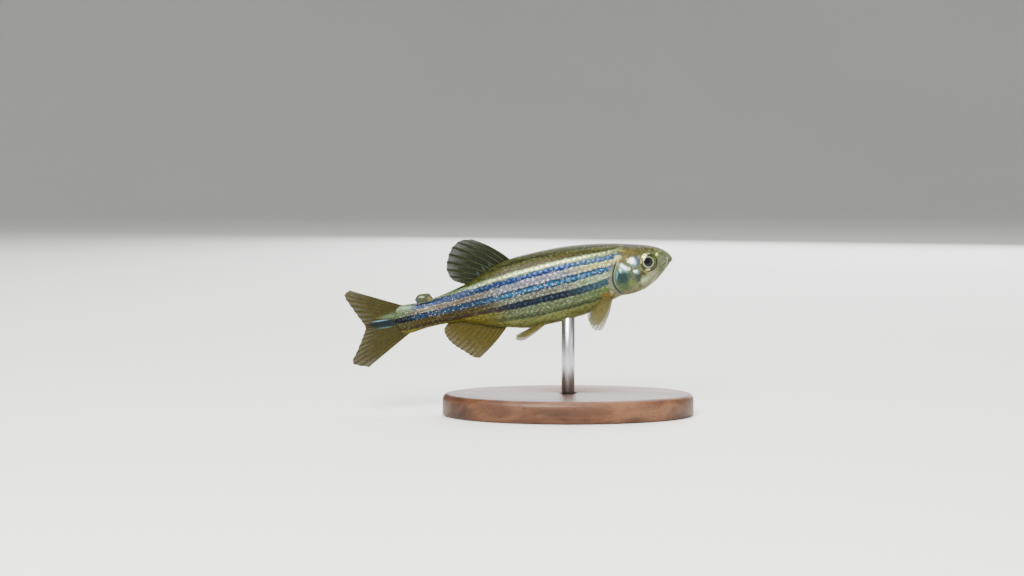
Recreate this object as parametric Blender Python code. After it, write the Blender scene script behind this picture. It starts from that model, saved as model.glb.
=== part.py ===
"""Zebra danio, adult, as a life-size display model on a plain stand.

The fish is drawn in its own frame, in millimetres: u runs back from the snout tip along the
body's axis, y to the fish's left and v up. The whole fish hangs from one empty, which pitches
it nose up and sets its belly over the stand's rod. Everything is turned to metres, +Z up.
"""

import math

import bmesh
import bpy
import numpy as np
from mathutils import Matrix, Vector

MM = 0.001
GAP = 0.3
LEFT, RIGHT = 1, -1
SIDES = ((LEFT, "left"), (RIGHT, "right"))

# Pose of the fish over the stand
PITCH = math.radians(13.0)
BELLY_HEIGHT = 13.0
ROD_U = 15.5

# Lines of the body: u, back, belly, half width, level of the widest point
STATIONS = (
    (0.0, 0.00, 0.00, 0.00, 0.00),
    (0.2, 0.62, -0.36, 0.46, 0.04),
    (0.75, 1.27, -0.84, 0.88, 0.06),
    (1.35, 1.75, -1.36, 1.18, 0.09),
    (2.1, 2.17, -1.95, 1.48, 0.12),
    (3.2, 2.62, -2.66, 1.84, 0.18),
    (4.6, 3.04, -3.20, 2.12, 0.22),
    (6.4, 3.54, -3.46, 2.34, 0.25),
    (7.8, 3.86, -3.42, 2.44, 0.30),
    (9.5, 4.22, -3.86, 2.52, 0.38),
    (11.5, 4.55, -4.50, 2.58, 0.45),
    (14.5, 4.87, -4.86, 2.60, 0.48),
    (18.0, 4.95, -4.95, 2.46, 0.45),
    (21.0, 4.86, -4.80, 2.20, 0.40),
    (23.5, 4.44, -4.19, 1.92, 0.33),
    (25.5, 3.74, -3.60, 1.66, 0.26),
    (27.2, 3.08, -2.93, 1.44, 0.20),
    (29.4, 2.53, -1.99, 1.20, 0.15),
    (31.5, 2.13, -1.76, 0.98, 0.12),
    (34.2, 1.81, -1.71, 0.78, 0.05),
    (36.4, 1.95, -1.90, 0.62, 0.02),
    (37.4, 1.93, -1.93, 0.50, 0.00),
    (38.0, 1.42, -1.38, 0.38, 0.00),
    (38.3, 0.80, -0.75, 0.28, 0.00),
)
BODY_LENGTH = STATIONS[-1][0]
BACK_ROUNDNESS, BELLY_ROUNDNESS = 2.25, 2.0
RING_POINTS = 32
BODY_RINGS, FIRST_RING_U = 46, 0.0256
TAIL_END_RINGS = (36.7, 37.3, 37.7, 38.0, 38.3)
NOSE_ZONE, TAIL_ZONE = 3.0, 36.0

# Where the body is parted: the rear edge of the gill covers, as v and u, and the tail stalk
HEAD_END = (
    (-5.5, 5.3),
    (-4.2, 6.5),
    (-3.3, 7.35),
    (-2.5, 8.0),
    (-1.6, 8.4),
    (-0.6, 8.38),
    (0.3, 8.1),
    (1.2, 7.55),
    (2.4, 6.95),
    (3.9, 6.3),
    (5.5, 5.7),
)
STALK_START = 31.2
SLAB_HALF_HEIGHT, SLAB_HALF_WIDTH, SLAB_ROWS = 6.5, 4.5, 27
PAST_END = 2.0

# Gill cover: its front edge as v and u, its lower and upper end, and its thickness
GILL_FRONT = ((-3.2, 7.1), (-2.6, 6.35), (-1.8, 5.88), (-0.4, 5.72), (0.7, 6.0), (1.5, 6.75))
GILL_BOTTOM, GILL_TOP = -2.75, 1.2
GILL_THICKNESS, GILL_CROWN = 0.55, 0.12
GILL_COLUMNS, GILL_ROWS = 6, 9
POCKET_REACH = 1.0

# Eye: place, and the turned profile as radius and height over the skin
EYE_U, EYE_V = 3.27, 0.34
EYE_PROFILE = (
    (0.25, 0.34),
    (0.70, 0.27),
    (1.05, 0.11),
    (1.28, -0.14),
    (1.28, -0.35),
    (1.00, -0.72),
    (0.45, -0.90),
)
EYE_SIDES = 20
EYE_RIM = 3
SOCKET_REACH = 1.5

# Mouth: its line runs from the snout tip to both corners
MOUTH_CORNER_U, MOUTH_CORNER_V = 2.08, -0.91
MOUTH_POINTS = 9
LIP_RADIUS, LIP_OFFSET, LIP_SINK = 0.21, 0.25, 0.08
GROOVE_RADIUS, GROOVE_REACH = 0.15, 0.9
NOSTRIL_U, NOSTRIL_V = 1.42, 1.12
NOSTRIL_PROFILE = ((0.20, 0.3), (0.20, 0.0), (0.08, -0.22))

# Barbels: the routes of the left ones, as u, y and v, from inside the skin to the tips
BARBEL_ROUTES = {
    "snout_barbel": (
        (0.9, 0.45, 0.35),
        (0.75, 1.05, 0.3),
        (0.8, 1.5, -0.05),
        (1.1, 1.75, -0.6),
        (1.5, 1.85, -1.15),
    ),
    "jaw_barbel": (
        (2.2, 0.8, -0.95),
        (2.3, 1.55, -1.2),
        (2.85, 2.05, -1.85),
        (3.8, 2.3, -2.6),
        (4.9, 2.25, -3.2),
    ),
}
BARBEL_ROOT_RADIUS, BARBEL_TIP_RADIUS, BARBEL_RINGS = 0.26, 0.11, 8
BARBEL_GAP = GAP + 0.05

# Fins: half thickness of the membrane and height of the rays at the root and at the margin
MEMBRANE_ROOT, MEMBRANE_MARGIN = 0.25, 0.13
RAY_ROOT, RAY_MARGIN = 0.13, 0.04
RAY_SHARE = 0.24
FIN_ROWS = 7

# Middle fins: root, sunk in the body, and margin from the first ray to the last, as u and v
MIDDLE_FINS = {
    "dorsal_fin": {
        "root": ((20.9, 4.1), (22.9, 3.75), (24.9, 3.1), (26.7, 2.3)),
        "margin": ((25.8, 8.6), (27.3, 8.78), (28.6, 8.15), (29.5, 6.85), (30.0, 5.35),
                   (29.6, 3.9), (28.6, 3.15)),
        "rays": 10,
        "bow": 0.06,
        "cup": 0.35,
    },
    "anal_fin": {
        "root": ((22.9, -3.1), (25.3, -2.5), (27.9, -1.5), (30.2, -1.15)),
        "margin": ((28.4, -7.38), (29.2, -7.05), (30.2, -6.05), (31.3, -4.95), (32.05, -3.7),
                   (32.2, -2.6), (31.75, -1.95)),
        "rays": 14,
        "bow": 0.04,
        "cup": 0.35,
    },
    "tail_fin": {
        "root": ((36.2, 1.55), (37.2, 1.1), (37.7, 0.4), (37.7, -0.4), (37.2, -1.1), (36.0, -1.5)),
        "margin": ((43.5, 5.62), (44.25, 5.0), (43.6, 3.1), (42.8, 1.2), (42.5, 0.15), (43.1, -0.9),
                   (44.2, -2.5), (45.3, -4.2), (43.3, -5.2)),
        "rays": 19,
        "wave": 0.45,
    },
    "tail_flap": {
        "root": ((32.5, 1.5), (33.6, 1.35), (34.6, 1.3)),
        "margin": ((33.0, 2.75), (34.0, 2.95), (34.7, 2.8), (35.1, 2.3)),
        "rays": 3,
    },
}

# Paired fins: the left one of each pair, as u, y and v
PAIRED_FINS = {
    "pectoral_fin": {
        "root": ((8.95, 1.25, -2.9), (9.25, 1.3, -2.6), (9.55, 1.35, -2.3)),
        "margin": ((11.5, 3.95, -7.0), (12.3, 4.1, -6.75), (12.75, 3.9, -5.9), (12.6, 3.55, -4.9),
                   (12.1, 3.15, -4.1)),
        "rays": 9,
        "bow": 0.05,
        "cup": -0.3,
    },
    "pelvic_fin": {
        "root": ((17.7, 0.85, -4.2), (18.1, 0.65, -4.2), (18.5, 0.4, -4.2)),
        "margin": ((21.9, 2.3, -6.15), (22.7, 2.15, -6.1), (22.95, 1.75, -5.85), (22.6, 1.25, -5.6),
                   (22.0, 0.85, -5.45)),
        "rays": 7,
        "bow": 0.05,
        "cup": 0.2,
    },
}

# Stand
BASE_LENGTH, BASE_WIDTH, BASE_THICKNESS = 34.0, 20.0, 3.0
BASE_EDGE, BASE_CHAMFER = 0.8, 0.3
BASE_SIDES = 48
ROD_DIAMETER, ROD_SINK, ROD_SIDES = 1.8, 1.4, 20


def smooth_curve(knots, values, at):
    """Cubic curve through the values at the knots, with each slope taken from the neighbours."""
    knots, values = np.asarray(knots, float), np.asarray(values, float)
    slopes = np.gradient(values, knots, axis=0)
    at = min(max(at, knots[0]), knots[-1])
    i = min(max(int(np.searchsorted(knots, at)) - 1, 0), len(knots) - 2)
    step = knots[i + 1] - knots[i]
    t = (at - knots[i]) / step
    start = (1 + 2 * t) * (1 - t) ** 2 * values[i] + t * (1 - t) ** 2 * step * slopes[i]
    end = t * t * (3 - 2 * t) * values[i + 1] + t * t * (t - 1) * step * slopes[i + 1]
    return start + end


def along(points, share):
    """Point of a smooth curve through control points at a share of it, 0 to 1."""
    knots = np.linspace(0.0, 1.0, len(points))
    return smooth_curve(knots, points, share)


def linear(channel):
    """Linear value of one sRGB channel from 0 to 1."""
    return channel / 12.92 if channel <= 0.04045 else ((channel + 0.055) / 1.055) ** 2.4


def finish(name, colour, roughness, metallic=0.0, alpha=1.0):
    """Principled material from an sRGB hex colour."""
    material = bpy.data.materials.new(name)
    material.use_nodes = True
    shader = material.node_tree.nodes["Principled BSDF"]
    channels = [linear(int(colour[i : i + 2], 16) / 255) for i in (1, 3, 5)]
    shader.inputs["Base Color"].default_value = (*channels, 1.0)
    shader.inputs["Roughness"].default_value = roughness
    shader.inputs["Metallic"].default_value = metallic
    shader.inputs["Alpha"].default_value = alpha
    material.diffuse_color = (*channels, 1.0)
    return material


def new_object(name, points, faces, parent=None, material=None):
    """Mesh object from points in millimetres."""
    mesh = bpy.data.meshes.new(name)
    mesh.from_pydata([Vector(p) * MM for p in points], [], faces)
    mesh.update()
    obj = bpy.data.objects.new(name, mesh)
    bpy.context.scene.collection.objects.link(obj)
    obj.parent = parent
    if material:
        mesh.materials.append(material)
    return obj


def face_out(obj):
    """Turns the faces of a closed mesh outwards."""
    work = bmesh.new()
    work.from_mesh(obj.data)
    bmesh.ops.recalc_face_normals(work, faces=work.faces)
    work.to_mesh(obj.data)
    work.free()


def loft(name, rings, parent=None, material=None):
    """Closed body through rings of equal count, with a flat face on each end."""
    count = len(rings[0])
    points = [p for ring in rings for p in ring]
    faces = []
    for i in range(len(rings) - 1):
        for j in range(count):
            k = (j + 1) % count
            faces.append((i * count + j, i * count + k, (i + 1) * count + k, (i + 1) * count + j))
    faces.append(tuple(range(count))[::-1])
    faces.append(tuple((len(rings) - 1) * count + j for j in range(count)))
    obj = new_object(name, points, faces, parent, material)
    face_out(obj)
    return obj


def combine(target, operation, tools):
    """Applies one Boolean of all the tools to the target, removes them and keeps one body."""
    group = bpy.data.collections.new("tools")
    for tool in tools:
        group.objects.link(tool)
    change = target.modifiers.new("combine", "BOOLEAN")
    change.operation = operation
    change.operand_type = "COLLECTION"
    change.collection = group
    change.solver = "EXACT"
    bpy.context.view_layer.update()
    graph = bpy.context.evaluated_depsgraph_get()
    result = bpy.data.meshes.new_from_object(target.evaluated_get(graph))
    target.modifiers.clear()
    target.data = result
    for tool in tools:
        bpy.data.objects.remove(tool)
    bpy.data.collections.remove(group)
    keep_largest(target)


def keep_largest(obj):
    """Removes every closed surface of the mesh but the largest."""
    work = bmesh.new()
    work.from_mesh(obj.data)
    left = set(work.verts)
    shells = []
    while left:
        shell, front = set(), [left.pop()]
        while front:
            vert = front.pop()
            shell.add(vert)
            for edge in vert.link_edges:
                other = edge.other_vert(vert)
                if other in left:
                    left.remove(other)
                    front.append(other)
        shells.append(shell)

    def reach(shell):
        corners = np.array([v.co for v in shell])
        return float(np.prod(np.ptp(corners, axis=0) + MM * GAP))

    largest = max(shells, key=reach)
    spare = [v for shell in shells if shell is not largest for v in shell]
    bmesh.ops.delete(work, geom=spare, context="VERTS")
    work.to_mesh(obj.data)
    work.free()


def section(u):
    """Back, belly, half width and widest level of the body at u."""
    roots = [math.sqrt(row[0]) for row in STATIONS]
    return smooth_curve(roots, [row[1:] for row in STATIONS], math.sqrt(u))


def in_frame(u, y, v):
    """Point of the fish's frame as x, y and z."""
    return Vector((-u, y, v))


def body_ring(u, grow):
    """Outline across the body at u: a rounded oval, its back and belly curved apart."""
    back, belly, half_width, widest = section(u)
    nose = max(0.0, 1 - u / NOSE_ZONE)
    tail = max(0.0, (u - TAIL_ZONE) / (BODY_LENGTH - TAIL_ZONE))
    place = u + grow * (tail - nose)
    ring = []
    for step in range(RING_POINTS):
        angle = 2 * math.pi * step / RING_POINTS
        across, up = math.cos(angle), math.sin(angle)
        upper = up >= 0
        reach = grow + (back - widest if upper else widest - belly)
        power = 2 / (BACK_ROUNDNESS if upper else BELLY_ROUNDNESS)
        y = (half_width + grow) * math.copysign(abs(across) ** power, across)
        v = widest + reach * math.copysign(abs(up) ** power, up)
        ring.append(in_frame(place, y, v))
    return ring


def body(name, parent, grow=0.0, material=None):
    """The whole body from snout to tail base, grown all round where a gap is wanted."""
    roots = np.linspace(math.sqrt(FIRST_RING_U), math.sqrt(TAIL_ZONE), BODY_RINGS)
    places = [*(roots**2), *TAIL_END_RINGS]
    return loft(name, [body_ring(u, grow) for u in places], parent, material)


def side_of_body(u, v):
    """Distance from the middle plane to the skin at u and level v."""
    back, belly, half_width, widest = section(u)
    upper = v >= widest
    reach = back - widest if upper else widest - belly
    roundness = BACK_ROUNDNESS if upper else BELLY_ROUNDNESS
    share = min(abs(v - widest) / max(reach, 1e-6), 1.0)
    return half_width * (1 - share**roundness) ** (1 / roundness)


def skin_normal(u, v, side):
    """Direction out of the skin at u and level v on one side."""
    step = 0.02
    back_slope = (side_of_body(u + step, v) - side_of_body(max(u - step, 0.0), v)) / (2 * step)
    up_slope = (side_of_body(u, v + step) - side_of_body(u, v - step)) / (2 * step)
    return Vector((back_slope, side, -up_slope)).normalized()


def skin_point(u, v, side, lift=0.0):
    """Point on the skin, or at a lift over it."""
    return in_frame(u, side * side_of_body(u, v), v) + lift * skin_normal(u, v, side)


def head_end(v):
    """u of the head's rear edge at level v."""
    return smooth_curve([p[0] for p in HEAD_END], [p[1] for p in HEAD_END], v)


def gill_front(v):
    """u of the gill cover's front edge at level v."""
    return smooth_curve([p[0] for p in GILL_FRONT], [p[1] for p in GILL_FRONT], v)


def slab(name, parent, front_edge, rear_edge):
    """Block across the whole body, whose front and rear faces follow two edges u(v)."""
    rings = []
    for v in np.linspace(-SLAB_HALF_HEIGHT, SLAB_HALF_HEIGHT, SLAB_ROWS):
        front, rear = front_edge(v), rear_edge(v)
        corners = ((front, RIGHT), (rear, RIGHT), (rear, LEFT), (front, LEFT))
        rings.append([in_frame(u, side * SLAB_HALF_WIDTH, v) for u, side in corners])
    return loft(name, rings, parent)


def body_piece(name, parent, material, front_edge, rear_edge):
    """Length of the body between two edges."""
    piece = body(name, parent, material=material)
    combine(piece, "INTERSECT", [slab("length", parent, front_edge, rear_edge)])
    return piece


def gill_plate(name, parent, side, grow=0.0, rear_grow=0.0, outer=0.0, material=None):
    """Curved plate over the gills. Grown by the gap, it is the cutter of its own pocket."""
    outside, inside = [], []
    for column in np.linspace(0, 1, GILL_COLUMNS):
        for row in np.linspace(0, 1, GILL_ROWS):
            v = (GILL_BOTTOM - grow) * (1 - row) + (GILL_TOP + grow) * row
            front, rear = gill_front(v) - grow, head_end(v) - GAP / 2 + rear_grow
            u = front * (1 - column) + rear * column
            crown = GILL_CROWN * math.sin(math.pi * column) * math.sin(math.pi * row)
            outside.append(skin_point(u, v, side, outer + crown))
            inside.append(skin_point(u, v, side, -GILL_THICKNESS - grow))
    return sheet(name, parent, material, outside, inside, GILL_ROWS)


def placed(rings, place, axis):
    """Rings drawn about +Z, moved to a place with +Z along an axis."""
    turn = Vector((0, 0, 1)).rotation_difference(axis).to_matrix()
    return [[place + turn @ p for p in ring] for ring in rings]


def turned(profile, sides, grow=0.0):
    """Rings of a turned profile of radius and height, grown all round where a gap is wanted."""
    rings = []
    for i, (radius, height) in enumerate(profile):
        wide = radius + (grow if 0 < i < len(profile) - 1 else grow * 0.5)
        high = height + grow * (1 if i == 0 else -1 if i == len(profile) - 1 else 0)
        turns = [2 * math.pi * k / sides for k in range(sides)]
        rings.append([Vector((wide * math.cos(a), wide * math.sin(a), high)) for a in turns])
    return rings


def eye(name, parent, side, grow=0.0, outer=0.0, material=None):
    """Eyeball set in the side of the head. Grown by the gap, it is the cutter of its socket."""
    rings = turned(EYE_PROFILE, EYE_SIDES, grow)
    if outer:
        rings = [[p + Vector((0, 0, outer)) for p in rings[EYE_RIM]], *rings[EYE_RIM:]]
    place = skin_point(EYE_U, EYE_V, side)
    return loft(name, placed(rings, place, skin_normal(EYE_U, EYE_V, side)), parent, material)


def tube(name, parent, path, radii, sides, material=None):
    """Round tube through a path of points, with a radius at each."""
    rings = []
    for i, place in enumerate(path):
        ahead = (path[min(i + 1, len(path) - 1)] - path[max(i - 1, 0)]).normalized()
        across = ahead.cross(Vector((0.2, 0.1, 1))).normalized()
        over = ahead.cross(across)
        turns = [2 * math.pi * k / sides for k in range(sides)]
        rings.append([place + (math.cos(a) * across + math.sin(a) * over) * radii[i] for a in turns])
    return loft(name, rings, parent, material)


def snout_u(y, v):
    """u at which the front of the snout reaches a distance y from the middle at level v."""
    near, far = 0.0, EYE_U
    for _ in range(30):
        middle = (near + far) / 2
        back, belly = section(middle)[:2]
        inside = belly < v < back and side_of_body(middle, v) > y
        near, far = (near, middle) if inside else (middle, far)
    return far


def mouth_path(lower, lift, reach=1.0):
    """Points round the snout from the left corner of the mouth to the right one."""
    path = []
    end = reach * math.pi / 2
    corner_y = side_of_body(MOUTH_CORNER_U, MOUTH_CORNER_V)
    core = in_frame(MOUTH_CORNER_U, 0.0, MOUTH_CORNER_V / 2)
    for turn in np.linspace(end, -end, 2 * MOUTH_POINTS + 1):
        y = corner_y * math.sin(turn)
        v = MOUTH_CORNER_V * (1 - math.cos(turn)) - lower
        place = in_frame(snout_u(abs(y), v), y, v)
        path.append(place + (place - core).normalized() * lift)
    return path


def lips(parent):
    """Upper and lower lip as two tubes sunk into the snout, thinner at the corners."""
    turns = np.linspace(-math.pi / 2, math.pi / 2, 2 * MOUTH_POINTS + 1)
    radii = [LIP_RADIUS * (0.6 + 0.4 * math.cos(turn)) for turn in turns]
    paths = [mouth_path(lower, -LIP_SINK) for lower in (-LIP_OFFSET, LIP_OFFSET)]
    return [tube("lip", parent, path, radii, 8) for path in paths]


def head_cutters(parent):
    """Mouth line, nostrils, eye sockets and gill pockets."""
    groove = [GROOVE_RADIUS] * (2 * MOUTH_POINTS + 1)
    cutters = [tube("mouth", parent, mouth_path(0.0, LIP_SINK, GROOVE_REACH), groove, 6)]
    for side, _ in SIDES:
        pit = placed(
            turned(NOSTRIL_PROFILE, 8),
            skin_point(NOSTRIL_U, NOSTRIL_V, side),
            skin_normal(NOSTRIL_U, NOSTRIL_V, side),
        )
        cutters.append(loft("nostril", pit, parent))
        cutters.append(eye("socket", parent, side, GAP, SOCKET_REACH))
        cutters.append(gill_plate("pocket", parent, side, GAP, POCKET_REACH, POCKET_REACH))
    return cutters


def fin(name, parent, material, root, margin, rays, bow=0.0, cup=0.0, wave=0.0):
    """Fin with raised rays, its root and margin given as points from the first ray to the last.

    Between them each ray bows to the leading side. The membrane cups to one side, or waves to
    both, and its two faces are split into triangles alike.
    """
    pitch = 1 / (rays - 1)
    crests = {round(k * pitch, 6) for k in range(rays)}
    feet = {round(crest + side * RAY_SHARE * pitch, 6) for crest in crests for side in (-1, 1)}
    columns = sorted(crests | {share for share in feet if 0 < share < 1})
    middle = Vector(along(margin, 0.5)) - Vector(along(root, 0.5))
    spread = Vector(margin[-1]) - Vector(margin[0])
    across = middle.cross(spread).normalized()
    near, far = [], []
    for share in columns:
        foot, tip = Vector(along(root, share)), Vector(along(margin, share))
        lead = (tip - foot).cross(across)
        for t in np.linspace(0, 1, FIN_ROWS):
            arch = 4 * t * (1 - t) * bow * (1 - share)
            swing = cup * math.sin(math.pi * share) * t + wave * math.sin(2 * math.pi * share) * t * t
            centre = foot.lerp(tip, t) + lead * arch + across * swing
            half = MEMBRANE_ROOT + (MEMBRANE_MARGIN - MEMBRANE_ROOT) * t
            if share in crests:
                half += RAY_ROOT + (RAY_MARGIN - RAY_ROOT) * t
            near.append(centre - across * half)
            far.append(centre + across * half)
    solid = sheet(name, parent, material, near, far, FIN_ROWS)
    return rooted(solid, parent)


def sheet(name, parent, material, near, far, rows):
    """Closed sheet from its two faces' points, in columns of rows, all in triangles alike."""
    columns, count = len(near) // rows, len(near)
    faces = []
    for i in range(columns - 1):
        for j in range(rows - 1):
            a, b = i * rows + j, (i + 1) * rows + j
            faces += [(a, b, b + 1), (a, b + 1, a + 1)]
            faces += [(count + b + 1, count + b, count + a), (count + a + 1, count + b + 1, count + a)]
    first = list(range(rows))
    outer = [i * rows + rows - 1 for i in range(1, columns)]
    last = [(columns - 1) * rows + j for j in range(rows - 1)][::-1]
    inner = [i * rows for i in range(1, columns - 1)][::-1]
    loop = first + outer + last + inner
    for a, b in zip(loop, loop[1:] + loop[:1]):
        faces += [(a, b, count + b), (a, count + b, count + a)]
    solid = new_object(name, near + far, faces, parent, material)
    face_out(solid)
    return solid


def rooted(piece, parent, reach=GAP):
    """Cuts a piece's root back to the gap from the body."""
    combine(piece, "DIFFERENCE", [body("clearance", parent, reach)])
    return piece


def middle_fins(fish, material, flap_material):
    """Dorsal, anal and tail fin, and the small flap of skin on the tail stalk."""
    for name, sizes in MIDDLE_FINS.items():
        shape = dict(sizes)
        for edge in ("root", "margin"):
            shape[edge] = [in_frame(u, 0.0, v) for u, v in sizes[edge]]
        fin(name, fish, flap_material if name == "tail_flap" else material, **shape)


def paired_fins(fish, material):
    """Pectoral fins, half folded under the breast, and pelvic fins along the belly."""
    for name, sizes in PAIRED_FINS.items():
        for side, word in SIDES:
            shape = dict(sizes, cup=side * sizes["cup"])
            for edge in ("root", "margin"):
                shape[edge] = [in_frame(u, side * y, v) for u, y, v in sizes[edge]]
            fin(f"{name}_{word}", fish, material, **shape)


def barbels(fish, material):
    """Two pairs of feelers: short ones on the snout, long ones at the corners of the mouth."""
    shares = np.linspace(0, 1, BARBEL_RINGS)
    radii = [BARBEL_ROOT_RADIUS * (1 - s) + BARBEL_TIP_RADIUS * s for s in shares]
    for name, route in BARBEL_ROUTES.items():
        for side, word in SIDES:
            points = [in_frame(u, side * y, v) for u, y, v in route]
            path = [Vector(along(points, s)) for s in shares]
            feeler = tube(f"{name}_{word}", fish, path, radii, 6, material)
            rooted(feeler, fish, BARBEL_GAP)


def plinth_rings():
    """Ovals up the plinth: a small chamfer under it and a rounded upper edge."""
    profile = [(BASE_CHAMFER, 0.0), (0.0, BASE_CHAMFER)]
    for turn in np.linspace(0, math.pi / 2, 4):
        inset = BASE_EDGE * (1 - math.cos(turn))
        profile.append((inset, BASE_THICKNESS - BASE_EDGE * (1 - math.sin(turn))))
    turns = [2 * math.pi * k / BASE_SIDES for k in range(BASE_SIDES)]
    rings = []
    for inset, height in profile:
        long, wide = BASE_LENGTH / 2 - inset, BASE_WIDTH / 2 - inset
        rings.append([Vector((long * math.cos(a), wide * math.sin(a), height)) for a in turns])
    return rings


def stand(fish):
    """Oval plinth and one rod, set in a hole of the plinth and reaching up to the belly."""
    base = loft("stand_base", plinth_rings(), material=finish("plinth_walnut", "#5b3f2c", 0.45))
    radius, foot = ROD_DIAMETER / 2, BASE_THICKNESS - ROD_SINK
    hole = ((radius + GAP, foot - GAP), (radius + GAP, BASE_THICKNESS + 1))
    combine(base, "DIFFERENCE", [loft("hole", turned(hole, ROD_SIDES))])
    shaft = ((radius, foot), (radius, BELLY_HEIGHT + radius))
    steel = finish("rod_steel", "#b9bcbf", 0.3, 1.0)
    rooted(loft("stand_rod", turned(shaft, ROD_SIDES), material=steel), fish)


def place_fish():
    """Empty that carries the fish, nose up, with its belly over the rod."""
    fish = bpy.data.objects.new("fish", None)
    bpy.context.scene.collection.objects.link(fish)
    fish.rotation_euler = (0.0, -PITCH, 0.0)
    belly = in_frame(ROD_U, 0.0, section(ROD_U)[1])
    turn = Matrix.Rotation(-PITCH, 3, "Y")
    fish.location = (Vector((0, 0, BELLY_HEIGHT)) - turn @ belly) * MM
    return fish


def main():
    for obj in list(bpy.data.objects):
        bpy.data.objects.remove(obj)
    fish = place_fish()
    silver = finish("head_silver", "#8b8d78", 0.35)
    flank = finish("flank_silver_blue", "#71858f", 0.32)
    stalk = finish("stalk_olive_blue", "#5a6468", 0.35)
    gill = finish("gill_teal", "#66796c", 0.28)
    dark = finish("eye_black", "#16171a", 0.1)
    ray = finish("fin_olive", "#6e6a45", 0.4, alpha=0.6)
    pale = finish("flap_pale", "#b9bca4", 0.4)

    head = body_piece("head", fish, silver, lambda v: -PAST_END, lambda v: head_end(v) - GAP / 2)
    combine(head, "UNION", lips(fish))
    combine(head, "DIFFERENCE", head_cutters(fish))
    body_piece("trunk", fish, flank, lambda v: head_end(v) + GAP / 2, lambda v: STALK_START - GAP / 2)
    tail_end = BODY_LENGTH + PAST_END
    body_piece("tail_stalk", fish, stalk, lambda v: STALK_START + GAP / 2, lambda v: tail_end)
    for side, word in SIDES:
        gill_plate(f"gill_cover_{word}", fish, side, material=gill)
        eye(f"eye_{word}", fish, side, material=dark)
    middle_fins(fish, ray, pale)
    paired_fins(fish, ray)
    barbels(fish, silver)
    stand(fish)


main()
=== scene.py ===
"""Zebra danio on a display stand: its skin, scales, eyes, fins and barbels, the stand and a studio.

The fish is drawn in its own frame, in millimetres: u runs back from the snout tip along the body's
axis, y to the fish's left and v up. A point of that frame is (-u, y, v), and one turn and shift
puts it over the stand. The stripes follow a level that counts the rows of scales up the flank.
"""

import math

import bmesh
import bpy
import numpy as np
from bpy.props import FloatProperty, FloatVectorProperty, IntProperty, PointerProperty
from mathutils import Matrix, Vector


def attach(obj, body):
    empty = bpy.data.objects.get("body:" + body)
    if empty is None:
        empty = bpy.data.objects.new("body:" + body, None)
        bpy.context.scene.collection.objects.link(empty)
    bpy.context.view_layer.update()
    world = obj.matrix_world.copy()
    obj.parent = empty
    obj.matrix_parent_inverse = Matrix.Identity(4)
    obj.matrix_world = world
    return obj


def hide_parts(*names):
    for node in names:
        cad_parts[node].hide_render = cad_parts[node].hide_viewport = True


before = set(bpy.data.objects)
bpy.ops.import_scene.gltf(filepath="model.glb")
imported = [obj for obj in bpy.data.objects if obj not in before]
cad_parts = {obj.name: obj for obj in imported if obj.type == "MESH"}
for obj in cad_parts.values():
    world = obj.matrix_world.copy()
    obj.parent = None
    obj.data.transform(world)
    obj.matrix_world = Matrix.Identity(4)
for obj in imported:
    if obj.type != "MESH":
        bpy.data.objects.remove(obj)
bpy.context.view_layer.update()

bl_info = {
    "name": "Zebra Danio Model",
    "version": (1, 0, 0),
    "blender": (4, 5, 0),
    "location": "3D Viewport > Sidebar > Danio",
    "description": "Builds a life-size zebra danio with its scales, fins and display stand",
    "category": "Add Mesh",
}

MM = 0.001
SIDES = ((1, "left"), (-1, "right"))

# Pose of the fish over the stand: its pitch, the belly's height and the rod's place as u
PITCH = math.radians(13.0)
BELLY_HEIGHT = 13.0
ROD_U = 15.5

# Lines of the body: u, back, belly, half width, level of the widest point
STATIONS = np.array((
    (0.0, 0.00, 0.00, 0.00, 0.00),
    (0.2, 0.62, -0.36, 0.46, 0.04),
    (0.75, 1.27, -0.84, 0.88, 0.06),
    (1.35, 1.75, -1.36, 1.18, 0.09),
    (2.1, 2.17, -1.95, 1.48, 0.12),
    (3.2, 2.62, -2.66, 1.84, 0.18),
    (4.6, 3.04, -3.20, 2.12, 0.22),
    (6.4, 3.54, -3.46, 2.34, 0.25),
    (7.8, 3.86, -3.42, 2.44, 0.30),
    (9.5, 4.22, -3.86, 2.52, 0.38),
    (11.5, 4.55, -4.50, 2.58, 0.45),
    (14.5, 4.87, -4.86, 2.60, 0.48),
    (18.0, 4.95, -4.95, 2.46, 0.45),
    (21.0, 4.86, -4.80, 2.20, 0.40),
    (23.5, 4.44, -4.19, 1.92, 0.33),
    (25.5, 3.74, -3.60, 1.66, 0.26),
    (27.2, 3.08, -2.93, 1.44, 0.20),
    (29.4, 2.53, -1.99, 1.20, 0.15),
    (31.5, 2.13, -1.76, 0.98, 0.12),
    (34.2, 1.81, -1.71, 0.78, 0.05),
    (36.4, 1.95, -1.90, 0.62, 0.02),
    (37.4, 1.93, -1.93, 0.50, 0.00),
    (38.0, 1.42, -1.38, 0.38, 0.00),
    (38.3, 0.80, -0.75, 0.28, 0.00),
))
BODY_LENGTH = float(STATIONS[-1, 0])
BACK_ROUNDNESS, BELLY_ROUNDNESS = 2.25, 2.0

# Rear edge of the gill covers and front edge of the gill plate, as v and u. Then the eye's centre,
# the mouth's corner and the nostrils, as u and v, the last with their radius
HEAD_END = np.array((
    (-5.5, 5.3), (-4.2, 6.5), (-3.3, 7.35), (-2.5, 8.0), (-1.6, 8.4), (-0.6, 8.38),
    (0.3, 8.1), (1.2, 7.55), (2.4, 6.95), (3.9, 6.3), (5.5, 5.7),
))
GILL_FRONT = np.array(((-3.2, 7.1), (-2.6, 6.35), (-1.8, 5.88), (-0.4, 5.72), (0.7, 6.0), (1.5, 6.75)))
EYE_U, EYE_V = 3.27, 0.34
MOUTH_CORNER_U, MOUTH_CORNER_V = 2.08, -0.91
NOSTRILS = ((1.27, 1.05, 0.11), (1.60, 1.22, 0.14))

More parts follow.
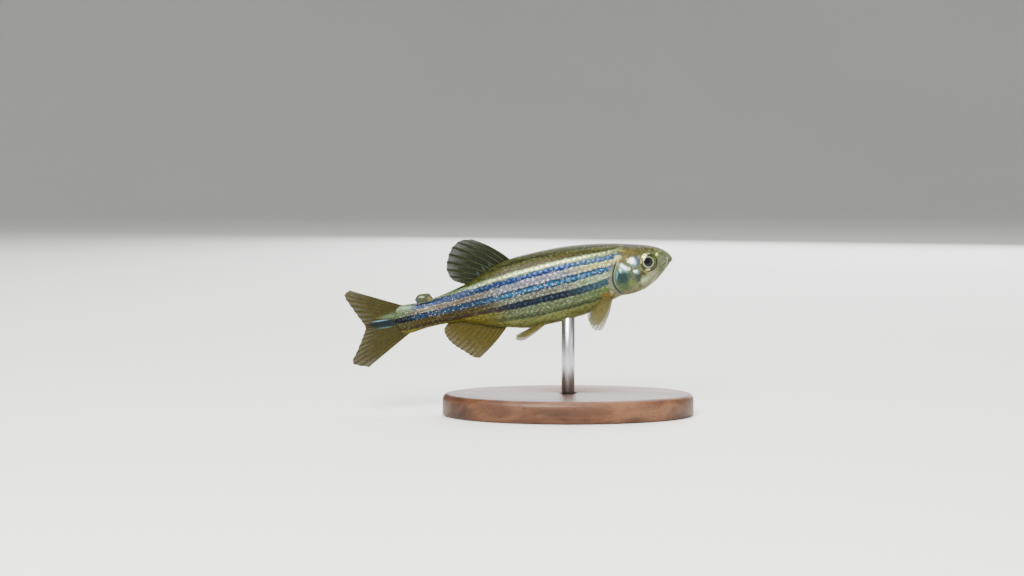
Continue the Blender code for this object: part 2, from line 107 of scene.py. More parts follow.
# Centre lines of the stripes, as the level of a row of scales and the line's u and v
STRIPE_LINES = {
    4: ((8.5, 2.90), (12.0, 3.00), (18.0, 2.95), (24.0, 2.60), (30.0, 2.08), (36.0, 1.80)),
    3: ((8.5, 2.12), (12.0, 2.30), (18.0, 2.30), (24.0, 1.95), (30.0, 1.53), (36.0, 1.36)),
    0: ((8.5, 0.78), (12.0, 0.62), (18.0, 0.39), (24.0, 0.16), (30.0, 0.05), (36.0, 0.07)),
    -3: ((8.5, -0.75), (12.0, -1.20), (18.0, -1.31), (24.0, -1.35), (30.0, -1.30), (36.0, -1.24)),
    -6: ((8.5, -2.75), (12.0, -3.02), (18.0, -3.17), (24.0, -2.92), (27.0, -2.55), (36.0, -2.2)),
}
LEVEL_LOW, LEVEL_SPAN = -12.0, 24.0

# Where the lowest stripe gives up its own line, as u, and the least distances of the outer lines
# from their neighbours, in rows
LOWEST_END, HIGHEST_GAP, LOWEST_GAP = (25.0, 28.0), 0.6, 1.5

# Relief of the head in millimetres: the gill plate's rise, its slit and furrow and the cheek's
# ridge, both lips, the mouth's line and the jaw's crease, then rims and depths of eyes and nostrils
PLATE_RISE, SLIT_DEPTH, FURROW_DEPTH, CHEEK_RISE = 0.07, 0.09, 0.045, 0.03
UPPER_LIP, LOWER_LIP, MOUTH_DEPTH, JAW_CREASE = 0.04, 0.05, 0.08, 0.03
EYE_RIM, EYE_RIM_RADIUS, SOCKET_DEPTH = 0.035, 1.36, 0.8
NOSTRIL_RIM, NOSTRIL_DEPTH = 0.05, 0.17

# Scales: their pitch along the body as u and millimetres, where they start and end, and how many
# the lattice has along the body
SCALE_PITCH = np.array(((7.0, 0.62), (14.0, 0.74), (24.0, 0.74), (38.0, 0.52)))
COAT_START, COAT_END = 5.6, 37.9
COAT_COLUMNS = 54

# Colours: sRGB hex and what each is
PALETTE = {
    "back_olive": ("#303313", "Olive of the back"),
    "back_top": ("#3e4220", "Paler ridge of the back"),
    "back_line": ("#10140a", "Thin dark lines of the back"),
    "back_rust": ("#30260e", "Reddish row over the gold stripe"),
    "gold_cream": ("#7b8151", "Gold-white stripe, front"),
    "gold_white": ("#848b69", "Gold-white stripe, middle"),
    "gold_edge": ("#5d6b3b", "Green edges of the gold-white stripe"),
    "gold_dim": ("#56684a", "Gold-white stripe, rear"),
    "blue_upper": ("#0f2145", "Upper blue stripe"),
    "blue_grey": ("#243a4e", "Upper blue stripe by the head"),
    "blue_rear": ("#0d1c36", "Upper blue stripe on the tail stalk"),
    "blue_low": ("#19283a", "Lower blue stripe on the tail stalk"),
    "blue": ("#264764", "Middle blue stripe"),
    "deep_blue": ("#0f1e33", "Middle stripe on the tail stalk"),
    "end_blue": ("#02060a", "Dark end of the middle stripe"),
    "navy": ("#0d1622", "Lower dark stripe"),
    "navy_front": ("#23353e", "Lower dark stripe by the head"),
    "cream": ("#85854e", "Pale stripe by the head"),
    "lilac": ("#5b5e69", "Pale stripe, middle"),
    "lilac_pale": ("#4c463c", "Pale stripe on the tail stalk"),
    "silver_green": ("#6c7e5e", "Second pale stripe by the head"),
    "silver": ("#4c5046", "Second pale stripe, middle"),
    "rust": ("#2b2409", "Second pale stripe at the rear"),
    "leaf": ("#434f2f", "Green band by the head"),
    "green_silver": ("#434b34", "Green band, middle"),
    "lower_line": ("#343c28", "Lowest dark line"),
    "belly": ("#61663a", "Belly"),
    "belly_pale": ("#696b42", "Underside of the belly"),
    "stalk": ("#4a4512", "Lower tail stalk"),
    "stalk_line": ("#241b0f", "Brown line of the tail stalk"),
    "stalk_end": ("#435137", "Pale green end of the tail stalk"),
    "stalk_low": ("#2b2912", "Under side at the tail stalk's end"),
    "crown": ("#131608", "Top of the head"),
    "brow": ("#2e2c0f", "Side of the head over the eye"),
    "cheek": ("#4b5035", "Cheek"),
    "jaw": ("#6b6f56", "Jaw"),
    "throat": ("#554f1c", "Throat"),
}

# Soft steps of the materials
SOFT = {"interpolation_type": "SMOOTHSTEP"}

# Bands of the stripes from the belly up: upper level, swatch and shine
BANDS_FRONT = (
    (-9.0, "belly_pale", 0.30), (-6.4, "belly", 0.30), (-5.7, "lower_line", 0.15), (-3.75, "leaf", 0.35),
    (-2.2, "navy_front", 0.30), (-0.8, "silver_green", 0.55), (-0.4, "deep_blue", 0.45),
    (0.45, "blue", 0.50), (0.85, "deep_blue", 0.45), (2.3, "cream", 0.60), (3.5, "blue_grey", 0.38),
    (3.75, "gold_edge", 0.40), (4.25, "gold_cream", 0.52), (4.5, "gold_edge", 0.30),
    (4.95, "back_line", 0.05), (6.4, "back_olive", 0.14),
    (6.9, "back_line", 0.05), (8.2, "back_olive", 0.14), (12.0, "back_top", 0.10),
)
BANDS_MIDDLE = (
    (-9.0, "belly_pale", 0.30), (-6.5, "belly", 0.30), (-5.5, "lower_line", 0.15),
    (-3.75, "green_silver", 0.40), (-2.2, "navy", 0.25), (-0.75, "silver", 0.50),
    (-0.4, "deep_blue", 0.45), (0.5, "blue", 0.50), (0.85, "deep_blue", 0.45), (2.3, "lilac", 0.60),
    (3.55, "blue_upper", 0.38), (3.75, "gold_edge", 0.40),
    (4.25, "gold_white", 0.55), (4.5, "gold_edge", 0.30), (4.95, "back_line", 0.05),
    (5.4, "back_rust", 0.14), (6.3, "back_olive", 0.14), (6.8, "back_line", 0.05),
    (8.2, "back_olive", 0.14), (12.0, "back_top", 0.10),
)
BANDS_REAR = (
    (-3.45, "stalk", 0.12), (-2.6, "stalk_line", 0.05), (-0.8, "rust", 0.06), (0.85, "blue_low", 0.40),
    (2.2, "lilac_pale", 0.45), (3.75, "blue_rear", 0.35), (4.6, "gold_dim", 0.50),
    (12.0, "back_olive", 0.14),
)
BANDS_END = (
    (-3.3, "stalk", 0.12), (-2.7, "stalk_line", 0.05), (-0.9, "stalk_low", 0.12), (0.95, "end_blue", 0.25),
    (2.6, "stalk_end", 0.40), (12.0, "gold_dim", 0.12),
)

# Where each set of bands takes over from the one before it, as u
BAND_CHANGES = ((BANDS_MIDDLE, 10.5, 15.5), (BANDS_REAR, 21.5, 27.5), (BANDS_END, 34.8, 37.2))

# Half width of the blend between bands and the width of a thin line, in levels
BAND_EDGE, THIN_BAND = 0.13, 0.55

# Unevenness of the stripes: noise per millimetre and its swing in levels
BAND_WOBBLES = ((1.3, 0.35), (5.5, 0.30))

# Fine streaks of the flanks, drawn out along the body
STREAK_STRETCH = (0.12, 0.8, 1.5)

# Bright centres of the scales, their silver with a painted highlight: level, colour and strength
BEADS = (
    (-12.0, "#a8a178", 0.03), (-7.0, "#a8a178", 0.06), (-6.0, "#5a6142", 0.05), (-5.0, "#9fae80", 0.12),
    (-4.0, "#94a187", 0.18), (-3.0, "#31486b", 0.22), (-2.2, "#b9bfae", 0.22), (-1.2, "#c9bfae", 0.26),
    (-0.5, "#3f7ab8", 0.30), (0.0, "#4f94d4", 0.55), (0.5, "#3f7ab8", 0.30), (1.15, "#e9d9dc", 0.62),
    (1.9, "#cdbfb2", 0.40), (2.6, "#4f6cb0", 0.30), (3.0, "#5578bc", 0.36), (3.6, "#cfd3a0", 0.22),
    (4.05, "#f6f8da", 0.60), (4.6, "#4c4a30", 0.12), (5.6, "#84602c", 0.20), (6.5, "#6f6b44", 0.10),
    (12.0, "#65653f", 0.05),
)

# Half length and half width of a scale's bright centre, in counts of scales and rows
BEAD = (0.36, 0.30)

# The bright centres fade from a place along the body to another, down to a share
BEAD_FADE = (16.0, 29.0, 0.16)

# Painted glints of the skin's crystals: tints taken by chance, cells in a millimetre, their stretch
GLINT_TINTS = ("#fff6dc", "#f2d3dc", "#cfe8bd", "#fdf0a8", "#bcd6f6", "#ffffff")
GLINTS_PER_MM, GLINT_STRETCH = 6.0, (0.6, 1.0, 1.0)

# Marks of the head and shoulder: u, v, half length, half height, tilt in degrees, colour, strength
MARKS = (
    (7.00, -1.25, 1.90, 2.15, -5, "#2f3d30", 1.5),
    (5.10, -1.40, 0.90, 1.60, 0, "#363d2d", 1.0),
    (0.95, -0.10, 1.60, 1.10, 10, "#505347", 0.75),
    (1.50, 1.25, 0.90, 0.50, 20, "#3a4426", 0.75),
    (5.60, 2.30, 1.70, 0.80, 8, "#4e4721", 0.75),
    (4.75, 0.85, 0.55, 1.10, 0, "#28333f", 1.1),
    (5.10, -1.25, 0.60, 1.00, 0, "#24302b", 0.95),
    (7.20, -0.85, 1.15, 1.30, -12, "#1b2a29", 1.3),
    (7.88, -0.35, 0.26, 0.80, 12, "#42737f", 0.8),
    (7.35, -2.10, 0.95, 0.62, 10, "#384528", 1.0),
    (6.20, -1.85, 0.60, 0.95, 0, "#555e24", 0.8),
    (5.15, -2.25, 0.35, 0.95, 0, "#453720", 0.8),
    (4.30, -1.05, 0.80, 0.50, 13, "#332314", 0.9),
    (3.85, -0.95, 0.50, 0.25, 13, "#6f5e28", 0.6),
    (4.35, -1.95, 1.15, 0.46, -23, "#8c9a6f", 0.85),
    (3.05, -1.20, 1.30, 0.46, -18, "#7e7d66", 0.75),
    # The next mark is a painted highlight on the rim of the rear nostril
    (2.00, 1.02, 0.30, 0.26, 0, "#c3c46a", 0.9),
    (1.55, 1.40, 0.45, 0.22, 30, "#646f4d", 0.6),
    (7.15, 1.95, 0.60, 0.36, 0, "#9b9660", 0.8),
    (6.35, 2.55, 0.55, 0.28, 10, "#8f8444", 0.6),
    (7.50, 1.05, 0.45, 0.30, 0, "#8f8766", 0.8),
    (6.75, 0.25, 1.15, 0.74, 38, "#527f78", 0.9),
    (5.25, 0.85, 0.80, 0.90, 0, "#58788a", 0.9),
    (5.90, 1.38, 0.62, 0.26, 20, "#b5a56a", 0.8),
    (5.20, -0.55, 0.52, 0.52, 0, "#527370", 0.8),
    (6.85, 1.22, 0.38, 0.26, 0, "#3d2312", 0.75),
    (6.20, 1.66, 0.55, 0.20, 20, "#553a16", 0.75),
    # The next three white marks are silver patches on the gill cover and behind the eye, partly painted
    # highlight
    (5.25, -0.48, 0.34, 0.28, -30, "#f4faf6", 1.1),
    (6.70, 0.42, 0.82, 0.42, 38, "#e9f8ee", 1.1),
    (5.50, 1.12, 0.52, 0.54, 0, "#fdfffc", 1.2),
    (5.20, 0.72, 0.34, 0.30, 0, "#c9dfe6", 0.9),
    (5.98, 1.02, 0.30, 0.24, 0, "#e9e6c0", 0.9),
    (7.25, 0.10, 0.30, 0.34, 0, "#a9d4d6", 0.8),
    (6.15, 0.10, 0.32, 0.26, 38, "#cfe9c8", 0.8),
    (8.40, 0.90, 0.50, 0.45, 0, "#3f3553", 0.9),
    (9.75, -2.85, 1.15, 0.72, 15, "#6d4c16", 0.75),
    (9.02, -2.55, 0.36, 0.60, 0, "#857862", 0.8),
)

# Unevenness of the marks: noise per millimetre and its swing in millimetres, and their soft share
MARK_BENDS = ((1.3, 0.7), (5.0, 0.35), (16.0, 0.26))
MARK_SOFTNESS = 0.85

# Lines along the gill cover's edge: border, start, full, rest, end behind the edge, strength, colour
GILL_LINES = (
    ("ragged", 0.00, 0.35, 0.40, 0.95, 0.75, "#6c6a5e"),
    ("smooth", -0.21, -0.14, -0.12, -0.04, 1.0, "#4f6a60"),
    # The last line, dark, is painted shadow in the slit behind the gill cover's free edge
    ("smooth", -0.05, 0.02, 0.10, 0.30, 1.0, "#2c2e1d"),
)

# They fade at the gill cover's lower and upper end, as v, and a ragged one strays by millimetres
GILL_LINE_ENDS, GILL_LINE_STRAY = ((-3.4, -2.9), (1.7, 1.2)), 0.75

# Colours of the head from the throat to the crown, by v
HEAD_HEIGHTS = (-4.0, 4.0)
HEAD_GROUND = (
    (-3.4, "throat"), (-2.4, "jaw"), (-0.6, "cheek"), (1.0, "cheek"), (1.9, "brow"), (3.0, "crown"),
)

# Blotches of the head: noise per millimetre, where one starts and is full, and its colour
HEAD_BLOTCHES = (
    (1.5, 0.50, 0.68, "#262b11"), (2.6, 0.54, 0.70, "#6c6e50"), (4.5, 0.54, 0.70, "#655f26"),
    (12.0, 0.54, 0.74, "#63623c"),
)
HEAD_BLOTCH_SHARE, HEAD_SHINE = 0.58, 0.14

# The head's colours end sharply at the gill cover's edge, and fade over it above the nape's v
HEAD_EDGE, NAPE_FADE, NAPE_LEVELS = (-0.05, 0.05), (-0.9, 0.7), (1.2, 1.5)

# Ring of the skin that is laid along the gill cover's edge, and points in a ring
HEAD_RING = 8.4
SKIN_SIDES = 248

# One scale: its root, rear edge and half width in counts of scales and rows, and its points
SCALE_ROOT, SCALE_REAR, SCALE_HALF = -0.95, 0.60, 1.10
SCALE_POINTS = (9, 6)

# Least and greatest share of its size that a scale has, and the seed of that choice
SCALE_SIZES, SIZE_SEED = (0.94, 1.06), 3

# Sheets under the scales: points along and across, and reach to each side in degrees
CARRIER_POINTS, CARRIER_REACH = (180, 121), 120.0

# Growth rings of a scale, as radians in its bright centre's size: real ones are too fine to show
SCALE_RINGS = 14.0

# Flank scales: millimetres from the gill cover's edge, and degrees up and down the flank
FLANK_START, FLANK_END = 0.75, 88.0

# Ridge scales: millimetres from the gill cover's edge, and rows to each side of the middle line
RIDGE_START, RIDGE_ROWS = 0.3, 1.2

# Where the back (True) and the belly (False) have none of them, as u of start and end
RIDGE_BREAKS = {
    True: ((21.5, 27.2), (32.5, 34.8), (37.0, 40.0)),
    False: ((0.0, 9.5), (22.3, 31.5), (36.6, 40.0)),
}

# How far they stand over the flanks' scales
RIDGE_LIFT = 0.03 * MM

# Width of one scale's patch on the bake map
BAKE_PATCH = 0.003

# Eye: its profile as radius and height, the iris's rings by radius, and the marks outside its silver
# ring as their place, half sizes, colour and strength
EYE_PROFILE = (
    (0.0, 0.36), (0.25, 0.34), (0.70, 0.27), (1.05, 0.11), (1.26, -0.12), (1.28, -0.35), (1.00, -0.72),
    (0.45, -0.90), (0.0, -0.94),
)
EYE_RINGS, EYE_SIDES = 40, 64
IRIS_SPAN, IRIS_REACH = 3.0, 1.4
IRIS_RINGS = (
    (0.0, "#07080b"), (0.61, "#0c0d11"), (0.66, "#71735a"), (0.70, "#8d9076"), (0.745, "#6c7055"),
    (0.80, "#2e351b"), (1.08, "#30371e"), (1.26, "#1c2010"),
)
IRIS_CENTRE = (-0.14, 0.03)
IRIS_MARKS = (
    # The first mark, pale gold at the upper rear, is a painted highlight
    (-0.45, 0.98, 0.66, 0.34, "#fff09c", 1.2), (-0.98, 0.45, 0.28, 0.55, "#b5ab72", 0.7),
    (-0.30, -1.00, 0.50, 0.22, "#b3aa7a", 0.8), (0.95, 0.20, 0.34, 0.85, "#4d582c", 0.8),
    (0.35, 1.05, 0.34, 0.20, "#75653c", 0.6), (-0.95, -0.50, 0.30, 0.45, "#202614", 0.7),
)

# Fins: root and margin from the first ray to the last, as u and v, or u, y and v of the left one
FINS = {
    "dorsal_fin": {
        "root": ((20.9, 4.1), (22.9, 3.75), (24.9, 3.1), (26.7, 2.3)),
        "margin": ((25.8, 8.6), (27.3, 8.78), (28.6, 8.15), (29.5, 6.85), (30.0, 5.35),
                   (29.6, 3.9), (28.6, 3.15)),
        "rays": 10, "bow": 0.06, "cup": 0.35,
    },
    "anal_fin": {
        "root": ((22.9, -3.1), (25.3, -2.5), (27.9, -1.5), (30.2, -1.15)),
        "margin": ((28.4, -7.38), (29.2, -7.05), (30.2, -6.05), (31.3, -4.95), (32.05, -3.7),
                   (32.2, -2.6), (31.75, -1.95)),
        "rays": 14, "bow": 0.04, "cup": 0.35,
    },
    "tail_fin": {
        "root": ((36.2, 1.55), (37.2, 1.1), (37.7, 0.4), (37.7, -0.4), (37.2, -1.1), (36.0, -1.5)),
        "margin": ((43.5, 5.62), (44.25, 5.0), (43.6, 3.1), (42.8, 1.2), (42.5, 0.15), (43.1, -0.9),
                   (44.2, -2.5), (45.3, -4.2), (43.3, -5.2)),
        "rays": 19, "wave": 0.45,
    },
    "tail_flap": {
        "root": ((32.5, 1.5), (33.6, 1.35), (34.6, 1.3)),
        "margin": ((33.0, 2.75), (34.0, 2.95), (34.7, 2.8), (35.1, 2.3)),
        "rays": 3, "simple": True,
    },
    "pectoral_fin": {
        "root": ((8.95, 1.25, -2.9), (9.25, 1.3, -2.6), (9.55, 1.35, -2.3)),
        "margin": ((11.5, 3.95, -7.0), (12.3, 4.1, -6.75), (12.75, 3.9, -5.9), (12.6, 3.55, -4.9),
                   (12.1, 3.15, -4.1)),
        "rays": 9, "bow": 0.05, "cup": -0.3,
    },
    "pelvic_fin": {
        "root": ((17.7, 0.85, -4.2), (18.1, 0.65, -4.2), (18.5, 0.4, -4.2)),
        "margin": ((21.9, 2.3, -6.15), (22.7, 2.15, -6.1), (22.95, 1.75, -5.85), (22.6, 1.25, -5.6),
                   (22.0, 0.85, -5.45)),
        "rays": 7, "bow": 0.05, "cup": 0.2,
    },
}

# Webs: columns between two rays, rows out to the margin, and how far the margin dips between rays
WEB_COLUMNS, WEB_ROWS, WEB_NOTCH = 6, 20, 0.014

# Rays: shares out where one forks and forks again, its end, and how far its branches part
RAY_FORK, RAY_TWIG, RAY_END = 0.42, 0.70, 0.985
RAY_PARTING, TWIG_PARTING = 0.20, 0.10

# Sides of a ray and of a barbel, points along a barbel, and its colours at root and tip
RAY_SIDES, BARBEL_SIDES, BARBEL_POINTS = 6, 10, 28
BARBEL_COLOURS = ("#4a4a2e", "#6f6c4a")

# Millimetres from one joint of a ray to the next
RAY_JOINT = 0.35

# Marks of the fins, with the same values as those of the head
TAIL_MARKS = (
    (37.6, 0.75, 1.9, 0.95, 12, "#3a4730", 0.9),
    (37.5, -0.85, 1.5, 0.70, -10, "#2b2912", 0.8),
    (38.6, 0.92, 2.6, 0.42, 5, "#46553b", 0.9),
    (39.6, 0.10, 3.7, 0.64, 5, "#0b151b", 1.4),
    (40.3, 0.62, 1.6, 0.13, 5, "#56798a", 0.8),
    (39.9, -0.42, 1.6, 0.13, 5, "#2f5459", 0.7),
    (42.5, 0.18, 0.7, 0.38, 5, "#46311c", 0.7),
)
DORSAL_MARKS = (
    (25.1, 4.35, 0.60, 0.13, 62, "#4d5b55", 0.4), (26.0, 3.95, 0.55, 0.12, 62, "#4d5b55", 0.4),
    (24.2, 4.65, 0.50, 0.12, 62, "#4d5b55", 0.35),
)
ANAL_MARKS = ((29.48, -2.27, 0.45, 0.35, 20, "#2e2b17", 0.8),)
# On the flap, the second mark, a pale streak over its top, is a painted highlight
FLAP_MARKS = (
    (34.95, 2.35, 0.34, 0.75, 0, "#28324a", 0.9), (34.10, 2.50, 0.55, 0.18, 8, "#a4ae96", 0.7),
    (33.15, 1.95, 0.45, 0.55, 0, "#6c5432", 0.9),
)

# Looks of the fins: colours of web and rays at root and tip, the web's alpha at both, and the rays'
# length, with their alpha at both where they fade
FIN_LOOKS = {
    "dorsal_fin": {"base": "#0d1007", "tip": "#191d0f", "alpha": (0.97, 0.74), "ray": "#3b4026",
                   "ray_tip": "#333720", "length": 5.5, "marks": DORSAL_MARKS},
    "anal_fin": {"base": "#352f0c", "tip": "#3b3411", "alpha": (0.97, 0.78), "ray": "#1a1704",
                 "ray_tip": "#27230a", "length": 5.0, "marks": ANAL_MARKS},
    "tail_fin": {"base": "#2a260a", "tip": "#2d290e", "alpha": (0.97, 0.78), "ray": "#171504",
                 "ray_tip": "#25220c", "length": 7.0, "marks": TAIL_MARKS},
    "tail_flap": {"base": "#2a3120", "tip": "#363d2b", "alpha": (0.97, 0.88), "ray": "#333a28",
                  "ray_tip": "#434a38", "length": 1.5, "marks": FLAP_MARKS},
    "pectoral_fin": {"base": "#48431f", "tip": "#534d27", "alpha": (0.66, 0.40), "ray": "#3d381a",
                     "ray_tip": "#4b4626", "length": 5.0, "solid": 0.8, "fade": 0.45},
    "pelvic_fin": {"base": "#443f1a", "tip": "#4d4821", "alpha": (0.74, 0.50), "ray": "#353116",
                   "ray_tip": "#443f20", "length": 4.5, "solid": 0.85, "fade": 0.5},
}

# Routes of the left barbels: u, y and v
BARBEL_ROUTES = {
    "snout_barbel": ((0.9, 0.45, 0.35), (0.75, 1.05, 0.3), (0.8, 1.5, -0.05), (1.1, 1.75, -0.6),
                     (1.5, 1.85, -1.15)),
    "jaw_barbel": ((2.2, 0.8, -0.95), (2.3, 1.55, -1.2), (2.85, 2.05, -1.85), (3.8, 2.3, -2.6),
                   (4.9, 2.25, -3.2)),
}

# Stand: the plinth's length, width and height, its lower chamfer, and the play of the rod's hole
PLINTH, PLINTH_CHAMFER, HOLE_PLAY = (34.0, 20.0, 3.0), 0.3, 0.3

# The rod's depth in the plinth and in the belly, and its chamfer
ROD_SINK, ROD_REACH, ROD_CHAMFER = 1.4, 0.35, 0.1
PLINTH_SIDES, ROD_SIDES = 160, 48

# Grain and pores of the walnut and brush lines of the steel, as noise per metre on each axis. The
# steel's lines are about 0.1 mm apart, because real ones are too fine to show
WALNUT_GRAIN, WALNUT_PORES = (40.0, 420.0, 420.0), (700.0, 7000.0, 7000.0)
STEEL_LINES = (9000.0, 9000.0, 250.0)

# Studio in metres: the floor's flat radius, the curve that lifts it, its top, and its sides
FLOOR_FLAT, FLOOR_CURVE, FLOOR_TOP, FLOOR_SIDES = 0.8, 0.7, 1.6, 96

# Where the camera and the lights point, in millimetres
CAMERA_TARGET = (-7.595, 0.0, 17.26)
LIGHT_TARGET = (-7.6, 0.0, 17.3)

# Lights: name, place from their target in metres, width, watts and colour
STUDIO_LIGHTS = (
    ("key", (-0.09, -0.35, 0.26), 0.22, 6.3, "#fffaf0"),
    ("fill", (0.36, -0.26, 0.08), 0.35, 0.8, "#e8f1ff"),
    ("back", (0.12, 0.40, 0.20), 0.40, 3.0, "#f4f7ff"),
    ("top", (0.05, 0.12, 0.45), 0.30, 3.0, "#ffffff"),
)
WORLD_STRENGTH = 0.30


def srgb(colour):
    """Red, green and blue of a hex colour, from 0 to 1."""
    return tuple(int(colour[i : i + 2], 16) / 255 for i in (1, 3, 5))


def linear(channels):
    """Linear colour with alpha 1 from sRGB channels or a hex colour."""
    channels = srgb(channels) if isinstance(channels, str) else channels
    return tuple(c / 12.92 if c <= 0.04045 else ((c + 0.055) / 1.055) ** 2.4 for c in channels) + (1.0,)


class DanioPalette(bpy.types.PropertyGroup):
    """Colours of the fish's markings."""


for swatch, (default, meaning) in PALETTE.items():
    DanioPalette.__annotations__[swatch] = FloatVectorProperty(
        name=swatch.replace("_", " ").capitalize(),
        description=meaning,
        subtype="COLOR_GAMMA",
        default=srgb(default),
        min=0.0,
        max=1.0,
    )


class DanioCoat(bpy.types.PropertyGroup):
    """Sizes of the scales."""

    depth: FloatProperty(
        name="Depth", description="Depth of the coat over the skin", default=0.032 * MM, unit="LENGTH"
    )
    thickness: FloatProperty(
        name="Thickness", description="Thickness of one scale", default=0.011 * MM, unit="LENGTH"
    )
    dome: FloatProperty(
        name="Dome", description="Height of a scale's bulge", default=0.007 * MM, unit="LENGTH"
    )
    jitter: FloatProperty(
        name="Jitter", description="Shift of the scales off their lattice", default=0.05, min=0.0
    )
    seed: IntProperty(name="Seed", description="Seed of the scales' variation", default=7)


class DanioFins(bpy.types.PropertyGroup):
    """Sizes of the fins."""

    membrane: FloatProperty(
        name="Membrane", description="Thickness of the membrane at its root", default=0.05 * MM,
        unit="LENGTH",
    )
    margin: FloatProperty(
        name="Margin", description="Thickness of the membrane at its margin", default=0.02 * MM,
        unit="LENGTH",
    )
    ray: FloatProperty(
        name="Ray", description="Radius of a ray at its root", default=0.058 * MM, unit="LENGTH"
    )
    ray_tip: FloatProperty(
        name="Ray tip", description="Radius of a ray at its tip", default=0.016 * MM, unit="LENGTH"
    )
    barbel: FloatProperty(
        name="Barbel", description="Radius of a barbel at its root", default=0.11 * MM, unit="LENGTH"
    )
    barbel_tip: FloatProperty(
        name="Barbel tip", description="Radius of a barbel at its tip", default=0.025 * MM, unit="LENGTH"
    )


class DanioStand(bpy.types.PropertyGroup):
    """Sizes of the stand, as the solids have them."""

    edge: FloatProperty(
        name="Edge", description="Radius of the plinth's upper edge", default=0.8 * MM, unit="LENGTH"
    )
    rod: FloatProperty(name="Rod", description="Diameter of the rod", default=1.8 * MM, unit="LENGTH")


class DanioStage(bpy.types.PropertyGroup):
    """Camera and studio."""

    lens: FloatProperty(name="Lens", description="Focal length of the camera", default=70.0, unit="CAMERA")
    distance: FloatProperty(
        name="Distance", description="From the camera to the fish", default=268.8 * MM, unit="LENGTH"
    )
    elevation: FloatProperty(
        name="Elevation", description="Camera angle over the horizon", default=math.radians(4.0),
        subtype="ANGLE",
    )


def smooth_curve(knots, values, at):
    """Cubic curve through the values at the knots, with each slope taken from the neighbours."""
    knots, values = np.asarray(knots, float), np.asarray(values, float)
    slopes = np.gradient(values, knots, axis=0)
    at = np.clip(np.asarray(at, float), knots[0], knots[-1])
    i = np.clip(np.searchsorted(knots, at) - 1, 0, len(knots) - 2)
    step = knots[i + 1] - knots[i]
    t = (at - knots[i]) / step
    if values.ndim > 1:
        step, t = step[..., None], t[..., None]
    start = (1 + 2 * t) * (1 - t) ** 2 * values[i] + t * (1 - t) ** 2 * step * slopes[i]
    end = t * t * (3 - 2 * t) * values[i + 1] + t * t * (t - 1) * step * slopes[i + 1]
    return start + end


def along(points, share):
    """Point of a smooth curve through control points at a share of it, 0 to 1."""
    return smooth_curve(np.linspace(0.0, 1.0, len(points)), points, share)


def smooth(low, high, value):
    """Smooth step from 0 at low to 1 at high."""
    t = np.clip((value - low) / (high - low), 0.0, 1.0)
    return t * t * (3 - 2 * t)


def bump(value, centre, width):
    """Bell of height 1 about a centre."""
    return np.exp(-(((value - centre) / width) ** 2))


def section(u):
    """Back, belly, half width and widest level of the body at u, each an array."""
    rows = smooth_curve(np.sqrt(STATIONS[:, 0]), STATIONS[:, 1:], np.sqrt(np.maximum(u, 0.0)))
    return np.moveaxis(rows, -1, 0)


def surface(u, angle):
    """Points on the body at u and an angle about its axis: 0 to the left, 90 degrees up."""
    back, belly, half_width, widest = section(u)
    across, up = np.cos(angle), np.sin(angle)
    upper = up >= 0
    reach = np.where(upper, back - widest, widest - belly)
    power = 2 / np.where(upper, BACK_ROUNDNESS, BELLY_ROUNDNESS)
    y = half_width * np.sign(across) * np.abs(across) ** power
    v = widest + reach * np.sign(up) * np.abs(up) ** power
    return np.stack((-u + 0 * v, y, v), -1)


def side_of_body(u, v):
    """Distance from the middle plane to the skin at u and level v."""
    back, belly, half_width, widest = section(u)
    upper = v >= widest
    reach = np.where(upper, back - widest, widest - belly)
    roundness = np.where(upper, BACK_ROUNDNESS, BELLY_ROUNDNESS)
    share = np.clip(np.abs(v - widest) / np.maximum(reach, 1e-6), 0.0, 1.0)
    return half_width * (1 - share**roundness) ** (1 / roundness)


def skin_axis(u, v, side):
    """Point on the skin and the direction out of it, at u and level v on one side."""
    step = 0.02
    back_slope = (side_of_body(u + step, v) - side_of_body(u - step, v)) / (2 * step)
    up_slope = (side_of_body(u, v + step) - side_of_body(u, v - step)) / (2 * step)
    outward = np.array((float(back_slope), side, -float(up_slope)))
    place = np.array((-u, side * float(side_of_body(u, v)), v))
    return place, outward / np.linalg.norm(outward)


def fish_place():
    """Turn of the fish and its shift in millimetres, from the fish's frame to the stand's."""
    turn = Matrix.Rotation(-PITCH, 3, "Y")
    belly = Vector((-ROD_U, 0.0, float(section(ROD_U)[1])))
    return turn, Vector((0.0, 0.0, BELLY_HEIGHT)) - turn @ belly


TURN, SHIFT = fish_place()


def to_world(points):
    """Points of the fish's frame in metres, over the stand."""
    points = np.asarray(points, float)
    return (points @ np.array(TURN).T + np.array(SHIFT)) * MM


def head_end(v):
    """u of the gill cover's rear edge at level v."""
    return smooth_curve(HEAD_END[:, 0], HEAD_END[:, 1], v)


def quads(rows, columns, ringed=False, first=0):
    """Faces of a grid of points, whose columns may close to a ring, from a first point on."""
    faces = []
    for i in range(rows - 1):
        a, b = first + i * columns, first + (i + 1) * columns
        for j in range(columns if ringed else columns - 1):
            k = (j + 1) % columns
            faces.append((a + j, b + j, b + k, a + k))
    return faces


def border(rows, columns):
    """Points round the border of a grid, in order."""
    loop = list(range(columns)) + [i * columns + columns - 1 for i in range(1, rows)]
    loop += [(rows - 1) * columns + j for j in range(columns - 2, -1, -1)]
    return loop + [i * columns for i in range(rows - 2, 0, -1)]


def circle(radius, height, sides):
    """Ring of points about the vertical axis."""
    turns = 2 * math.pi * np.arange(sides) / sides
    return [(radius * math.cos(a), radius * math.sin(a), height) for a in turns]


